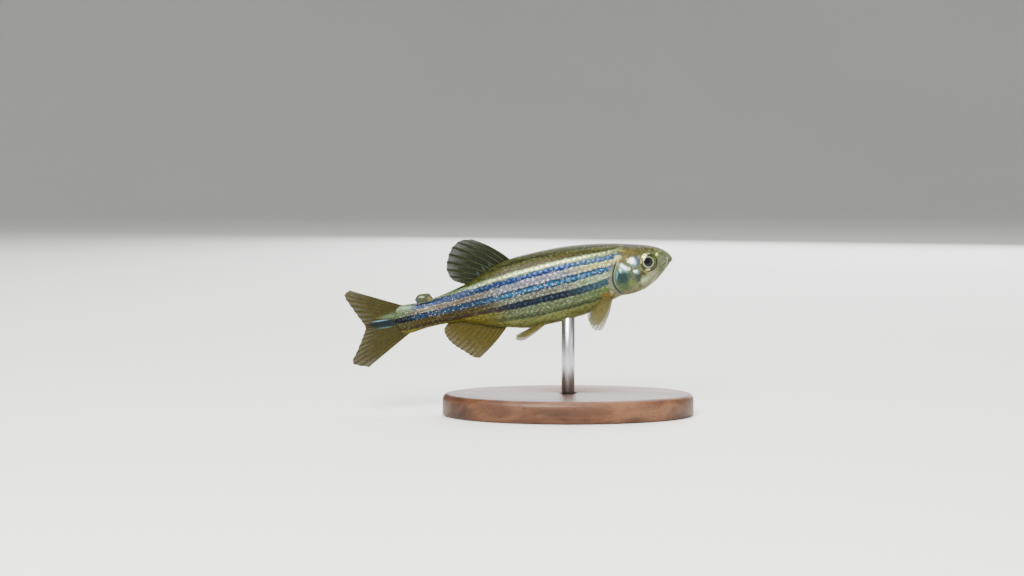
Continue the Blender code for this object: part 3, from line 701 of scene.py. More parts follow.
def stripe_levels():
    """Grid of the stripe level over u and the angle up one side, past both middle lines."""
    us = np.linspace(5.0, BODY_LENGTH, 180)
    angles = np.radians(np.linspace(-125.0, 125.0, 251))
    grid = np.zeros((len(us), len(angles)))
    for i, u in enumerate(us):
        points = surface(np.full(len(angles), u), angles)
        steps = np.linalg.norm(np.diff(points, axis=0), axis=1)
        arc = np.concatenate(([0.0], np.cumsum(steps)))
        back, belly, _, widest = section(u)
        marks = {}
        for level, line in STRIPE_LINES.items():
            v = smooth_curve([p[0] for p in line], [p[1] for p in line], u)
            upper = v >= widest
            reach = back - widest if upper else widest - belly
            roundness = BACK_ROUNDNESS if upper else BELLY_ROUNDNESS
            share = min(abs(v - widest) / max(reach, 1e-6), 0.98)
            angle = math.copysign(math.asin(share ** (roundness / 2)), v - widest)
            marks[level] = float(np.interp(angle, angles, arc))
        # The outer lines keep their distance, and the lowest one runs out on the tail stalk
        row = (marks[3] - marks[0]) / 3
        marks[4] = max(marks[4], marks[3] + HIGHEST_GAP * row)
        rear = smooth(*LOWEST_END, u)
        lowest = min(marks[-6], marks[-3] - LOWEST_GAP * row)
        marks[-6] = (1 - rear) * lowest + rear * (marks[-3] - 3 * row)
        levels = sorted(marks)
        places = [marks[level] for level in levels]
        grid[i] = np.interp(arc, places, levels)
        grid[i] += np.maximum(arc - places[-1], 0) / row - np.maximum(places[0] - arc, 0) / row
    return us, angles, grid


LEVEL_US, LEVEL_ANGLES, LEVEL_GRID = stripe_levels()


def level_at(u, angle):
    """Stripe level at u and an angle up one side, from -125 to 125 degrees."""
    x = np.interp(u, LEVEL_US, np.arange(len(LEVEL_US)))
    y = np.interp(angle, LEVEL_ANGLES, np.arange(len(LEVEL_ANGLES)))
    i = np.minimum(x.astype(int), len(LEVEL_US) - 2)
    j = np.minimum(y.astype(int), len(LEVEL_ANGLES) - 2)
    s, t = x - i, y - j
    low = LEVEL_GRID[i, j] * (1 - t) + LEVEL_GRID[i, j + 1] * t
    high = LEVEL_GRID[i + 1, j] * (1 - t) + LEVEL_GRID[i + 1, j + 1] * t
    return low * (1 - s) + high * s


def mouth_line():
    """u and v of the mouth's line from the snout tip to its corner, as an array of points."""
    turns = np.linspace(0.02, math.pi / 2, 24)
    corner_y = float(side_of_body(MOUTH_CORNER_U, MOUTH_CORNER_V))
    line = []
    for turn in turns:
        y, v = corner_y * math.sin(turn), MOUTH_CORNER_V * (1 - math.cos(turn))
        near, far = 0.0, EYE_U
        for _ in range(30):
            middle = (near + far) / 2
            back, belly = section(middle)[:2]
            inside = belly < v < back and side_of_body(middle, v) > y
            near, far = (near, middle) if inside else (middle, far)
        line.append((far, v))
    return np.array(line)


def relief(u, v, points, depth):
    """Lift of the skin over the body's smooth form, in millimetres."""
    # Gill plate, the slit behind its free edge and the furrow in front of it
    behind = u - head_end(v)
    front = smooth_curve(GILL_FRONT[:, 0], GILL_FRONT[:, 1], v)
    free = smooth(-3.5, -2.8, v) * (1 - smooth(1.1, 1.7, v))
    plate = smooth(front - 0.25, front + 0.3, u) * (1 - smooth(-0.20, 0.03, behind))
    lift = PLATE_RISE * plate * free
    lift -= SLIT_DEPTH * free * smooth(-0.04, 0.04, behind) * (1 - smooth(0.08, 0.45, behind))
    lift -= FURROW_DEPTH * free * bump(u - front, -0.12, 0.10)
    lift += CHEEK_RISE * free * bump(u - front, -0.42, 0.16)
    # Room for the scales
    lift -= depth * smooth(0.05, 0.60, behind) * (1 - smooth(37.6, 38.2, u))

    # Lips with the mouth's line between them, and the crease of the jaw
    mouth = mouth_line()
    slope = np.gradient(mouth[:, 1], mouth[:, 0])
    lean = 1 / np.sqrt(1 + np.interp(u, mouth[:, 0], slope) ** 2)
    over = (v - np.interp(u, mouth[:, 0], mouth[:, 1])) * lean
    mouth_part = 1 - smooth(1.85, 2.15, u)
    lift += mouth_part * (UPPER_LIP * bump(over, 0.15, 0.12) + LOWER_LIP * bump(over, -0.16, 0.12))
    lift -= mouth_part * (MOUTH_DEPTH * bump(over, 0.0, 0.05) + 0.02 * bump(np.abs(over), 0.42, 0.08))
    jaw = v - (MOUTH_CORNER_V - 0.62 * (u - MOUTH_CORNER_U))
    lift -= JAW_CREASE * bump(jaw, 0.0, 0.10) * smooth(1.9, 2.3, u) * (1 - smooth(4.6, 5.4, u))

    # Rims and sockets of the eyes, and the nostrils
    for side, _ in SIDES:
        own = points[..., 1] * side > 0
        centre, outward = skin_axis(EYE_U, EYE_V, side)
        apart = points - centre
        out = apart @ outward
        r = np.sqrt(np.maximum((apart**2).sum(-1) - out**2, 0.0))
        rim = EYE_RIM * bump(r, EYE_RIM_RADIUS, 0.12) - 0.02 * bump(r, EYE_RIM_RADIUS + 0.32, 0.14)
        lift += own * (rim - SOCKET_DEPTH * (1 - smooth(1.06, 1.20, r)))
        for nostril_u, nostril_v, radius in NOSTRILS:
            r = np.hypot(u - nostril_u, v - nostril_v)
            pit = NOSTRIL_DEPTH * (1 - smooth(0.4 * radius, radius, r))
            lift += own * (NOSTRIL_RIM * bump(r, radius + 0.07, 0.05) - pit)
    return lift


def grid_normals(points, ringed):
    """Directions out of a grid of points whose columns run round the body."""
    if ringed:
        padded = np.concatenate((points[:, -1:], points, points[:, :1]), axis=1)
        around = padded[:, 2:] - padded[:, :-2]
    else:
        around = np.gradient(points, axis=1)
    back = np.gradient(points, axis=0)
    normals = np.cross(back, around)
    return normals / np.maximum(np.linalg.norm(normals, axis=-1, keepdims=True), 1e-9)


def new_mesh(name, points, faces, material=None, turned=True):
    """Smooth mesh object from points of the fish's frame, or from metres."""
    mesh = bpy.data.meshes.new(name)
    world = to_world(points) if turned else np.asarray(points, float)
    mesh.from_pydata(world.tolist(), [], faces)
    mesh.update()
    mesh.shade_smooth()
    if material:
        mesh.materials.append(material)
    obj = bpy.data.objects.new(name, mesh)
    bpy.context.scene.collection.objects.link(obj)
    return obj


def set_attribute(obj, name, values, kind="FLOAT"):
    """Values for each vertex of an object's mesh."""
    layer = obj.data.attributes.new(name, kind, "POINT")
    field = "value" if kind == "FLOAT" else "vector"
    layer.data.foreach_set(field, np.asarray(values, np.float32).ravel())


def set_uv(obj, name, values):
    """UV map of an object's mesh from one pair for each vertex."""
    layer = obj.data.uv_layers.new(name=name)
    corners = np.zeros(len(obj.data.loops), np.int32)
    obj.data.loops.foreach_get("vertex_index", corners)
    layer.data.foreach_set("uv", np.asarray(values, np.float32)[corners].ravel())


def settle(obj, slot, *nodes):
    """Makes a finished piece ride on the fish and stand for its nodes."""
    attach(obj, "root")
    if nodes:
        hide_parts(*nodes)


def add(tree, kind, *values, sockets=None, stops=(), **settings):
    """Adds a node with its settings, and sets or links its inputs in order, or by name in sockets.

    A node given as a value stands for its first output. Stops are those of a colour ramp.
    """
    node = tree.nodes.new(kind)
    for name, value in settings.items():
        setattr(node, name, value)
    inputs = [socket for socket in node.inputs if socket.enabled]
    pairs = list(zip(inputs, values)) + [(node.inputs[name], v) for name, v in (sockets or {}).items()]
    for socket, value in pairs:
        if isinstance(value, bpy.types.Node):
            value = next(output for output in value.outputs if output.enabled)
        if isinstance(value, bpy.types.NodeSocket):
            tree.links.new(value, socket)
        elif value is not None:
            socket.default_value = value
    for k, (spot, colour) in enumerate(stops):
        elements = node.color_ramp.elements
        if k == 0:
            elements.remove(elements[1])
        stop = elements[0] if k == 0 else elements.new(spot)
        stop.position, stop.color = spot, colour
    return node


def new_material(name):
    """Empty material and its node tree."""
    material = bpy.data.materials.new(name)
    material.use_nodes = True
    material.node_tree.nodes.clear()
    return material, material.node_tree


def fish_coordinates(tree):
    """Object coordinates turned to the fish's own frame: -u, y and v in millimetres."""
    source = add(tree, "ShaderNodeTexCoord").outputs["Object"]
    shift = -(TURN.inverted() @ SHIFT)
    return add(tree, "ShaderNodeMapping", source, shift, (0.0, PITCH, 0.0), (1 / MM,) * 3)


def marked(tree, place, colour, mark):
    """Colour with a soft spot laid over it, and the spot's share.

    A mark is its u, v, half length, half height, tilt in degrees, colour and strength.
    """
    u, v, long, high, tilt, tint, strength = mark
    turn = Matrix.Rotation(-math.radians(tilt), 3, "Y")
    centre = turn @ Vector((-u, 0.0, v))
    turned = add(tree, "ShaderNodeMapping", place, None, (0.0, -math.radians(tilt), 0.0))
    size, shift = (1 / long, 0.0, 1 / high), (-centre.x / long, 0.0, -centre.z / high)
    local = add(tree, "ShaderNodeVectorMath", turned, size, shift, operation="MULTIPLY_ADD")
    far = add(tree, "ShaderNodeVectorMath", local, operation="LENGTH")
    share = add(tree, "ShaderNodeMapRange", far, 1.0, 1.0 - MARK_SOFTNESS, 0.0, strength, **SOFT)
    return add(tree, "ShaderNodeMix", share, colour, linear(tint), data_type="RGBA"), share


def paint(name):
    """Linear colour of a swatch of the palette."""
    return linear(tuple(getattr(bpy.context.scene.danio_palette, name)))


def ramp_spot(level):
    """Place of a stripe level on a ramp, 0 to 1."""
    return (level - LEVEL_LOW) / LEVEL_SPAN


def band_stops(bands):
    """Stops of a ramp with a colour for each band, its shine as alpha. A thin line has one stop."""
    stops = []
    low = LEVEL_LOW
    for high, swatch, shine in bands:
        edges = (low + BAND_EDGE, high - BAND_EDGE) if high - low > THIN_BAND else ((low + high) / 2,)
        colour = (*paint(swatch)[:3], shine)
        stops += [(ramp_spot(edge), colour) for edge in edges]
        low = high
    return stops


def markings_group():
    """Node group of the markings that skin and scales share: colour and shine."""
    known = bpy.data.node_groups.get("danio_markings")
    if known:
        return known
    tree = bpy.data.node_groups.new("danio_markings", "ShaderNodeTree")
    tree.interface.new_socket("Colour", in_out="OUTPUT", socket_type="NodeSocketColor")
    tree.interface.new_socket("Shine", in_out="OUTPUT", socket_type="NodeSocketFloat")
    place = fish_coordinates(tree)
    axes = add(tree, "ShaderNodeSeparateXYZ", place).outputs
    u = add(tree, "ShaderNodeMath", axes[0], -1.0, operation="MULTIPLY")
    v = axes[2]
    level = add(tree, "ShaderNodeAttribute", attribute_name="level").outputs["Fac"]
    behind = add(tree, "ShaderNodeAttribute", attribute_name="behind").outputs["Fac"]

    # Stripes of the body, by the level up the flank
    for scale, swing in BAND_WOBBLES:
        wobble = add(tree, "ShaderNodeTexNoise", sockets={"Vector": place, "Scale": scale, "Detail": 3.0})
        wobble = add(tree, "ShaderNodeMapRange", wobble, 0.0, 1.0, -swing, swing)
        level = add(tree, "ShaderNodeMath", level, wobble, operation="ADD")
    spot = add(tree, "ShaderNodeMapRange", level, LEVEL_LOW, LEVEL_LOW + LEVEL_SPAN)
    front = add(tree, "ShaderNodeValToRGB", spot, stops=band_stops(BANDS_FRONT))
    colour, shine = front.outputs[0], front.outputs[1]
    for bands, start, end in BAND_CHANGES:
        share = add(tree, "ShaderNodeMapRange", u, start, end, **SOFT)
        ramp = add(tree, "ShaderNodeValToRGB", spot, stops=band_stops(bands))
        colour = add(tree, "ShaderNodeMix", share, colour, ramp, data_type="RGBA")
        shine = add(tree, "ShaderNodeMix", share, shine, ramp.outputs[1])

    # Ground and blotches of the head
    height = add(tree, "ShaderNodeMapRange", v, *HEAD_HEIGHTS)
    low, high = HEAD_HEIGHTS
    stops = [((at - low) / (high - low), paint(swatch)) for at, swatch in HEAD_GROUND]
    head = add(tree, "ShaderNodeValToRGB", height, stops=stops)
    for scale, low, high, tint in HEAD_BLOTCHES:
        noise = add(tree, "ShaderNodeTexNoise", sockets={"Vector": place, "Scale": scale, "Detail": 4.0})
        share = add(tree, "ShaderNodeMapRange", noise, low, high, 0.0, HEAD_BLOTCH_SHARE, **SOFT)
        head = add(tree, "ShaderNodeMix", share, head, linear(tint), data_type="RGBA")
    nape = add(tree, "ShaderNodeMapRange", v, *NAPE_LEVELS)
    sharp = add(tree, "ShaderNodeMapRange", behind, *HEAD_EDGE, **SOFT)
    faded = add(tree, "ShaderNodeMapRange", behind, *NAPE_FADE, **SOFT)
    on_body = add(tree, "ShaderNodeMix", nape, sharp, faded)
    colour = add(tree, "ShaderNodeMix", on_body, head, colour, data_type="RGBA")
    shine = add(tree, "ShaderNodeMix", on_body, HEAD_SHINE, shine)

    # Glints: painted highlights on some cells, most of all in shiny bands; the other cells are a little
    # darker
    cells = add(tree, "ShaderNodeMapping", place, None, None, GLINT_STRETCH)
    cells = add(tree, "ShaderNodeTexVoronoi", cells, sockets={"Scale": GLINTS_PER_MM})
    chance = add(tree, "ShaderNodeSeparateColor", cells.outputs["Color"]).outputs
    stops = [(k / (len(GLINT_TINTS) - 1), linear(tint)) for k, tint in enumerate(GLINT_TINTS)]
    tints = add(tree, "ShaderNodeValToRGB", chance[1], stops=stops)
    lit = add(tree, "ShaderNodeMapRange", chance[0], 0.55, 0.85, **SOFT)
    for value, low, high, least, most in (
        (cells.outputs["Distance"], 0.55, 0.15, 0.0, 1.0), (shine, 0.28, 0.65, 0.06, 0.75),
    ):
        share = add(tree, "ShaderNodeMapRange", value, low, high, least, most, **SOFT)
        lit = add(tree, "ShaderNodeMath", lit, share, operation="MULTIPLY")
    unlit = add(tree, "ShaderNodeMapRange", chance[2], 0.1, 0.45, 0.62, 1.0, **SOFT)
    unlit = add(tree, "ShaderNodeMix", on_body, 0.93, unlit)
    colour = add(tree, "ShaderNodeVectorMath", colour, operation="SCALE", sockets={"Scale": unlit})
    colour = add(tree, "ShaderNodeMix", lit, colour, tints, data_type="RGBA")

    # Marks, a few pale ones partly painted highlights: the pale ones shine, the others are duller than the
    # ground
    bent, bends = place, []
    for scale, swing in MARK_BENDS:
        noise = add(tree, "ShaderNodeTexNoise", sockets={"Vector": place, "Scale": scale, "Detail": 3.0})
        bends.append(noise)
        shift = add(tree, "ShaderNodeVectorMath", noise.outputs["Color"], (0.5,) * 3, operation="SUBTRACT")
        bent = add(tree, "ShaderNodeVectorMath", shift, (swing,) * 3, bent, operation="MULTIPLY_ADD")
    for mark in MARKS:
        colour, share = marked(tree, bent, colour, mark)
        gain = 0.2 if min(srgb(mark[5])) > 0.7 else -0.1
        shine = add(tree, "ShaderNodeMath", share, gain, shine, operation="MULTIPLY_ADD")

    # Lines along the gill cover's edge, the dark one behind it a painted shadow in the slit
    ragged = add(tree, "ShaderNodeMapRange", bends[1], 0.0, 1.0, -GILL_LINE_STRAY, GILL_LINE_STRAY)
    ragged = add(tree, "ShaderNodeMath", behind, ragged, operation="ADD")
    ends = [add(tree, "ShaderNodeMapRange", v, low, high, **SOFT) for low, high in GILL_LINE_ENDS]
    for border, start, full, rest, end, most, tint in GILL_LINES:
        value = ragged if border == "ragged" else behind
        share = add(tree, "ShaderNodeMapRange", value, start, full, 0.0, most, **SOFT)
        for step in (add(tree, "ShaderNodeMapRange", value, end, rest, **SOFT), *ends):
            share = add(tree, "ShaderNodeMath", share, step, operation="MULTIPLY")
        colour = add(tree, "ShaderNodeMix", share, colour, linear(tint), data_type="RGBA")

    # Fine mottling all over, and streaks on the body
    fine = add(tree, "ShaderNodeTexNoise", sockets={"Vector": place, "Scale": 6.0, "Detail": 6.0})
    tone = add(tree, "ShaderNodeMapRange", fine, 0.32, 0.68, 0.72, 1.2)
    streaks = add(tree, "ShaderNodeMapping", place, None, None, STREAK_STRETCH)
    streaks = add(tree, "ShaderNodeTexNoise", sockets={"Vector": streaks, "Scale": 3.0, "Detail": 3.0})
    streaks = add(tree, "ShaderNodeMapRange", streaks, 0.3, 0.7, 0.68, 1.25)
    streaks = add(tree, "ShaderNodeMix", on_body, 1.0, streaks)
    tone = add(tree, "ShaderNodeMath", tone, streaks, operation="MULTIPLY")
    colour = add(tree, "ShaderNodeVectorMath", colour, operation="SCALE", sockets={"Scale": tone})
    add(tree, "NodeGroupOutput", colour, shine)
    return tree


def skin_material():
    """Bare skin over silver crystals: a soft metal glow under a wet film."""
    material, tree = new_material("guanine_silver_skin")
    marks = add(tree, "ShaderNodeGroup", node_tree=markings_group()).outputs
    place = fish_coordinates(tree)
    grain = add(tree, "ShaderNodeTexNoise", sockets={"Vector": place, "Scale": 9.0, "Detail": 3.0})
    bump_sockets = {"Strength": 0.5, "Distance": 0.04 * MM, "Height": grain}
    shader = add(tree, "ShaderNodeBsdfPrincipled", sockets={
        "Base Color": marks[0],
        "Metallic": marks[1],
        "Roughness": add(tree, "ShaderNodeMapRange", grain, 0.2, 0.8, 0.34, 0.52),
        "Specular IOR Level": 0.08,
        "Coat Weight": 0.03,
        "Coat Roughness": 0.20,
        "Normal": add(tree, "ShaderNodeBump", sockets=bump_sockets),
    })
    add(tree, "ShaderNodeOutputMaterial", shader)
    return material


def scale_material():
    """Scales: clear plates over silver crystals, shinier at the middle, where a highlight is painted on."""
    material, tree = new_material("iridescent_scale")
    marks = add(tree, "ShaderNodeGroup", node_tree=markings_group()).outputs
    level = add(tree, "ShaderNodeAttribute", attribute_name="level").outputs["Fac"]
    tone = add(tree, "ShaderNodeAttribute", attribute_name="tone").outputs["Fac"]
    local = add(tree, "ShaderNodeAttribute", attribute_name="local").outputs["Vector"]
    axes = add(tree, "ShaderNodeSeparateXYZ", fish_coordinates(tree)).outputs
    # Each scale's bright centre: its silver, and a painted highlight that lightens its colour
    size, shift = (1 / BEAD[0], 1 / BEAD[1], 0.0), (-0.10 / BEAD[0], 0.0, 0.0)
    local = add(tree, "ShaderNodeVectorMath", local, size, shift, operation="MULTIPLY_ADD")
    far = add(tree, "ShaderNodeVectorMath", local, operation="LENGTH")
    bead = add(tree, "ShaderNodeMapRange", far, 1.15, 0.35, **SOFT)
    spot = add(tree, "ShaderNodeMapRange", level, LEVEL_LOW, LEVEL_LOW + LEVEL_SPAN)
    stops = [(ramp_spot(at), (*linear(tint)[:3], strength)) for at, tint, strength in BEADS]
    beads = add(tree, "ShaderNodeValToRGB", spot, stops=stops)
    strength = add(tree, "ShaderNodeMapRange", tone, 0.0, 1.0, 0.35, 1.0)
    u = add(tree, "ShaderNodeMath", axes[0], -1.0, operation="MULTIPLY")
    fade = add(tree, "ShaderNodeMapRange", u, BEAD_FADE[0], BEAD_FADE[1], 1.0, BEAD_FADE[2], **SOFT)
    for factor in (beads.outputs[1], bead, fade):
        strength = add(tree, "ShaderNodeMath", strength, factor, operation="MULTIPLY")
    edge = add(tree, "ShaderNodeMapRange", far, 1.8, 3.0, 1.0, 0.9, **SOFT)
    colour = add(tree, "ShaderNodeVectorMath", marks[0], operation="SCALE", sockets={"Scale": edge})
    colour = add(tree, "ShaderNodeMix", strength, colour, beads.outputs[0], data_type="RGBA")
    rings = add(tree, "ShaderNodeMath", far, SCALE_RINGS, operation="MULTIPLY")
    rings = add(tree, "ShaderNodeMath", rings, operation="SINE")
    height = add(tree, "ShaderNodeMath", rings, 0.06, bead, operation="MULTIPLY_ADD")
    bump_sockets = {"Strength": 0.25, "Distance": 0.03 * MM, "Height": height}
    shader = add(tree, "ShaderNodeBsdfPrincipled", sockets={
        "Base Color": colour,
        "Metallic": add(tree, "ShaderNodeMath", strength, 0.2, marks[1], operation="MULTIPLY_ADD"),
        "Roughness": add(tree, "ShaderNodeMapRange", strength, 0.0, 1.0, 0.38, 0.24),
        "Specular IOR Level": 0.07,
        "Coat Weight": 0.02,
        "Coat Roughness": 0.20,
        "Normal": add(tree, "ShaderNodeBump", sockets=bump_sockets),
    })
    add(tree, "ShaderNodeOutputMaterial", shader)
    return material


def skin_rings():
    """Places of the skin's rings along the body, close together on the head."""
    tip = np.linspace(0.06, 1.0, 36) ** 2
    parts = (np.arange(1.05, 6.5, 0.05), np.arange(6.5, 9.4, 0.065), np.arange(9.4, 37.9, 0.2))
    return np.concatenate((tip, *parts, np.linspace(38.0, 38.29, 5)))


def skin(coat):
    """One skin over head, gill covers, trunk and tail stalk, under the coat by its depth."""
    angles = np.linspace(0, 2 * math.pi, SKIN_SIDES, endpoint=False)
    rings, angle = np.meshgrid(skin_rings(), angles, indexing="ij")
    u = rings
    for _ in range(3):
        v = surface(u, angle)[..., 2]
        shift = head_end(np.clip(v, -3.3, 2.6)) - HEAD_RING
        u = rings + np.interp(rings, (4.6, HEAD_RING, 12.0), (0.0, 1.0, 0.0)) * shift
    points = surface(u, angle)
    normals = grid_normals(points, True)
    v = points[..., 2]
    moved = points + normals * relief(u, v, points, coat.depth / MM)[..., None]
    poles = np.array((moved[0].mean(axis=0), (-BODY_LENGTH - 0.02, 0.0, 0.0)))
    faces, last = quads(len(rings), SKIN_SIDES, ringed=True), rings.size - SKIN_SIDES
    for j in range(SKIN_SIDES):
        k = (j + 1) % SKIN_SIDES
        faces += [(rings.size, j, k), (rings.size + 1, last + k, last + j)]
    obj = new_mesh("skin", np.concatenate((moved.reshape(-1, 3), poles)), faces, skin_material())
    level = level_at(u, np.arcsin(np.sin(angle)))
    for name, values in (("level", level), ("behind", u - head_end(v))):
        set_attribute(obj, name, np.concatenate((values.ravel(), [values[0, 0], values[-1, 0]])))
    settle(obj, "flank_skin", "head", "trunk", "tail_stalk", "gill_cover_left", "gill_cover_right")


def along_coat(u):
    """Place along the coat at u, counted in scales."""
    us = np.linspace(COAT_START, BODY_LENGTH, 400)
    pitch = np.interp(us, SCALE_PITCH[:, 0], SCALE_PITCH[:, 1])
    counts = np.concatenate(([0.0], np.cumsum(np.diff(us) / ((pitch[1:] + pitch[:-1]) / 2))))
    return np.interp(u, us, counts)


def flank_carrier(side, depth):
    """Sheet under one flank's scales, with its chart in counts of scales and rows."""
    u, angle = carrier_grid(0.0 if side > 0 else 180.0)
    up = angle if side > 0 else math.pi - angle
    level = level_at(u, up)
    behind = u - head_end(surface(u, angle)[..., 2])
    cover = (behind > FLANK_START) & (u < COAT_END) & (np.abs(up) < math.radians(FLANK_END))
    return carrier("carrier", u, angle, side * level, level, cover, depth)


def ridge_carrier(up, depth):
    """Sheet under the scales that close the coat along the back or the belly."""
    middle = math.pi / 2 if up else -math.pi / 2
    u, angle = carrier_grid(90.0 if up else -90.0)
    points = surface(u, angle)
    steps = np.linalg.norm(np.diff(points, axis=1), axis=-1)
    arc = np.concatenate((np.zeros((len(u), 1)), np.cumsum(steps, axis=1)), axis=1)
    arc -= arc[:, [arc.shape[1] // 2]]
    row = arc / (np.interp(u, SCALE_PITCH[:, 0], SCALE_PITCH[:, 1]) * 0.85)
    apart = np.abs(angle - middle)
    level = level_at(u, middle - apart if up else middle + apart)
    behind = u - head_end(points[..., 2])
    cover = (behind > RIDGE_START) & (np.abs(row) < RIDGE_ROWS)
    for start, end in RIDGE_BREAKS[up]:
        cover &= (u < start) | (u > end)
    return carrier("ridge_carrier", u, angle, row, level, cover, depth - RIDGE_LIFT)


def carrier_grid(centre):
    """Grid of u and angle for a carrier about a middle angle in degrees."""
    along_body, across = CARRIER_POINTS
    us = np.linspace(COAT_START, BODY_LENGTH - 0.02, along_body)
    angles = np.radians(np.linspace(centre - CARRIER_REACH, centre + CARRIER_REACH, across))
    return np.meshgrid(us, angles, indexing="ij")


def carrier(name, u, angle, row, level, cover, depth):
    """Mesh that the scales are wrapped on, with the values that they take from it."""
    points = surface(u, angle)
    normals = grid_normals(points, False)
    obj = new_mesh(name, (points - normals * depth / MM).reshape(-1, 3), quads(*u.shape))
    chart = np.stack((along_coat(u) / COAT_COLUMNS, ramp_spot(row)), -1)
    set_uv(obj, "chart", chart.reshape(-1, 2))
    set_attribute(obj, "ground_level", level)
    set_attribute(obj, "ground_behind", u - head_end(points[..., 2]))
    set_attribute(obj, "outward", normals.reshape(-1, 3) @ np.array(TURN).T, "FLOAT_VECTOR")
    set_attribute(obj, "cover", cover)
    return obj


def scale_tile(coat):
    """One scale, in counts of scales along and across and in metres of height.

    Its root is narrow and low, its free rear edge is round and stands over the next scales.
    """
    across, steps = SCALE_POINTS
    top = []
    for w in np.linspace(-1, 1, across):
        front = SCALE_ROOT + 0.30 * w * w
        rear = SCALE_REAR - 0.44 * abs(w) ** 2.3
        for t in np.linspace(0, 1, steps):
            x = front + (rear - front) * t
            y = SCALE_HALF * w * (0.78 + 0.22 * min(2 * t, 1.0))
            z = coat.depth * (x - SCALE_ROOT) / (SCALE_REAR - SCALE_ROOT)
            z += coat.dome * math.exp(-(((x - 0.05) / 0.5) ** 2)) * (1 - w * w)
            top.append((x, y, z))
    loop = border(across, steps)
    low = [(top[k][0], top[k][1], top[k][2] - coat.thickness) for k in loop]
    faces = [
        (i * steps + j, i * steps + j + 1, (i + 1) * steps + j + 1, (i + 1) * steps + j)
        for i in range(across - 1)
        for j in range(steps - 1)
    ]
    count, edge = len(top), len(loop)
    faces += [(loop[k], count + k, count + (k + 1) % edge, loop[(k + 1) % edge]) for k in range(edge)]
    faces.append(tuple(count + k for k in reversed(range(edge))))
    tile = new_mesh("scale_tile", top + low, faces, turned=False)
    rim = [max(e.vertices) >= count or set(e.vertices) <= set(loop) for e in tile.data.edges]
    tile.data.attributes.new("sharp_edge", "BOOLEAN", "EDGE").data.foreach_set("value", rim)
    set_attribute(tile, "local", [(x, y, 0.0) for x, y, _ in top + low], "FLOAT_VECTOR")
    return tile


def geometry_tree(name, sockets):
    """Empty Geometry Nodes tree with named inputs, and its inputs' sockets."""
    tree = bpy.data.node_groups.new(name, "GeometryNodeTree")
    tree.interface.new_socket("Geometry", in_out="INPUT", socket_type="NodeSocketGeometry")
    tree.interface.new_socket("Geometry", in_out="OUTPUT", socket_type="NodeSocketGeometry")
    for label, kind in sockets.items():
        tree.interface.new_socket(label, in_out="INPUT", socket_type=f"NodeSocket{kind}")
    return tree, add(tree, "NodeGroupInput").outputs


def run_tree(obj, tree, values):
    """Runs a Geometry Nodes tree on an object and leaves the result as its plain mesh."""
    change = obj.modifiers.new(tree.name, "NODES")
    change.node_group = tree
    for item in tree.interface.items_tree:
        if item.in_out == "INPUT" and item.name in values:
            change[item.identifier] = values[item.name]
    graph = bpy.context.evaluated_depsgraph_get()
    mesh = bpy.data.meshes.new_from_object(
        obj.evaluated_get(graph), preserve_all_data_layers=True, depsgraph=graph
    )
    obj.modifiers.clear()
    obj.data = mesh
    if not mesh.polygons:
        raise RuntimeError(f"{obj.name} came out of {tree.name} without faces")
    return obj


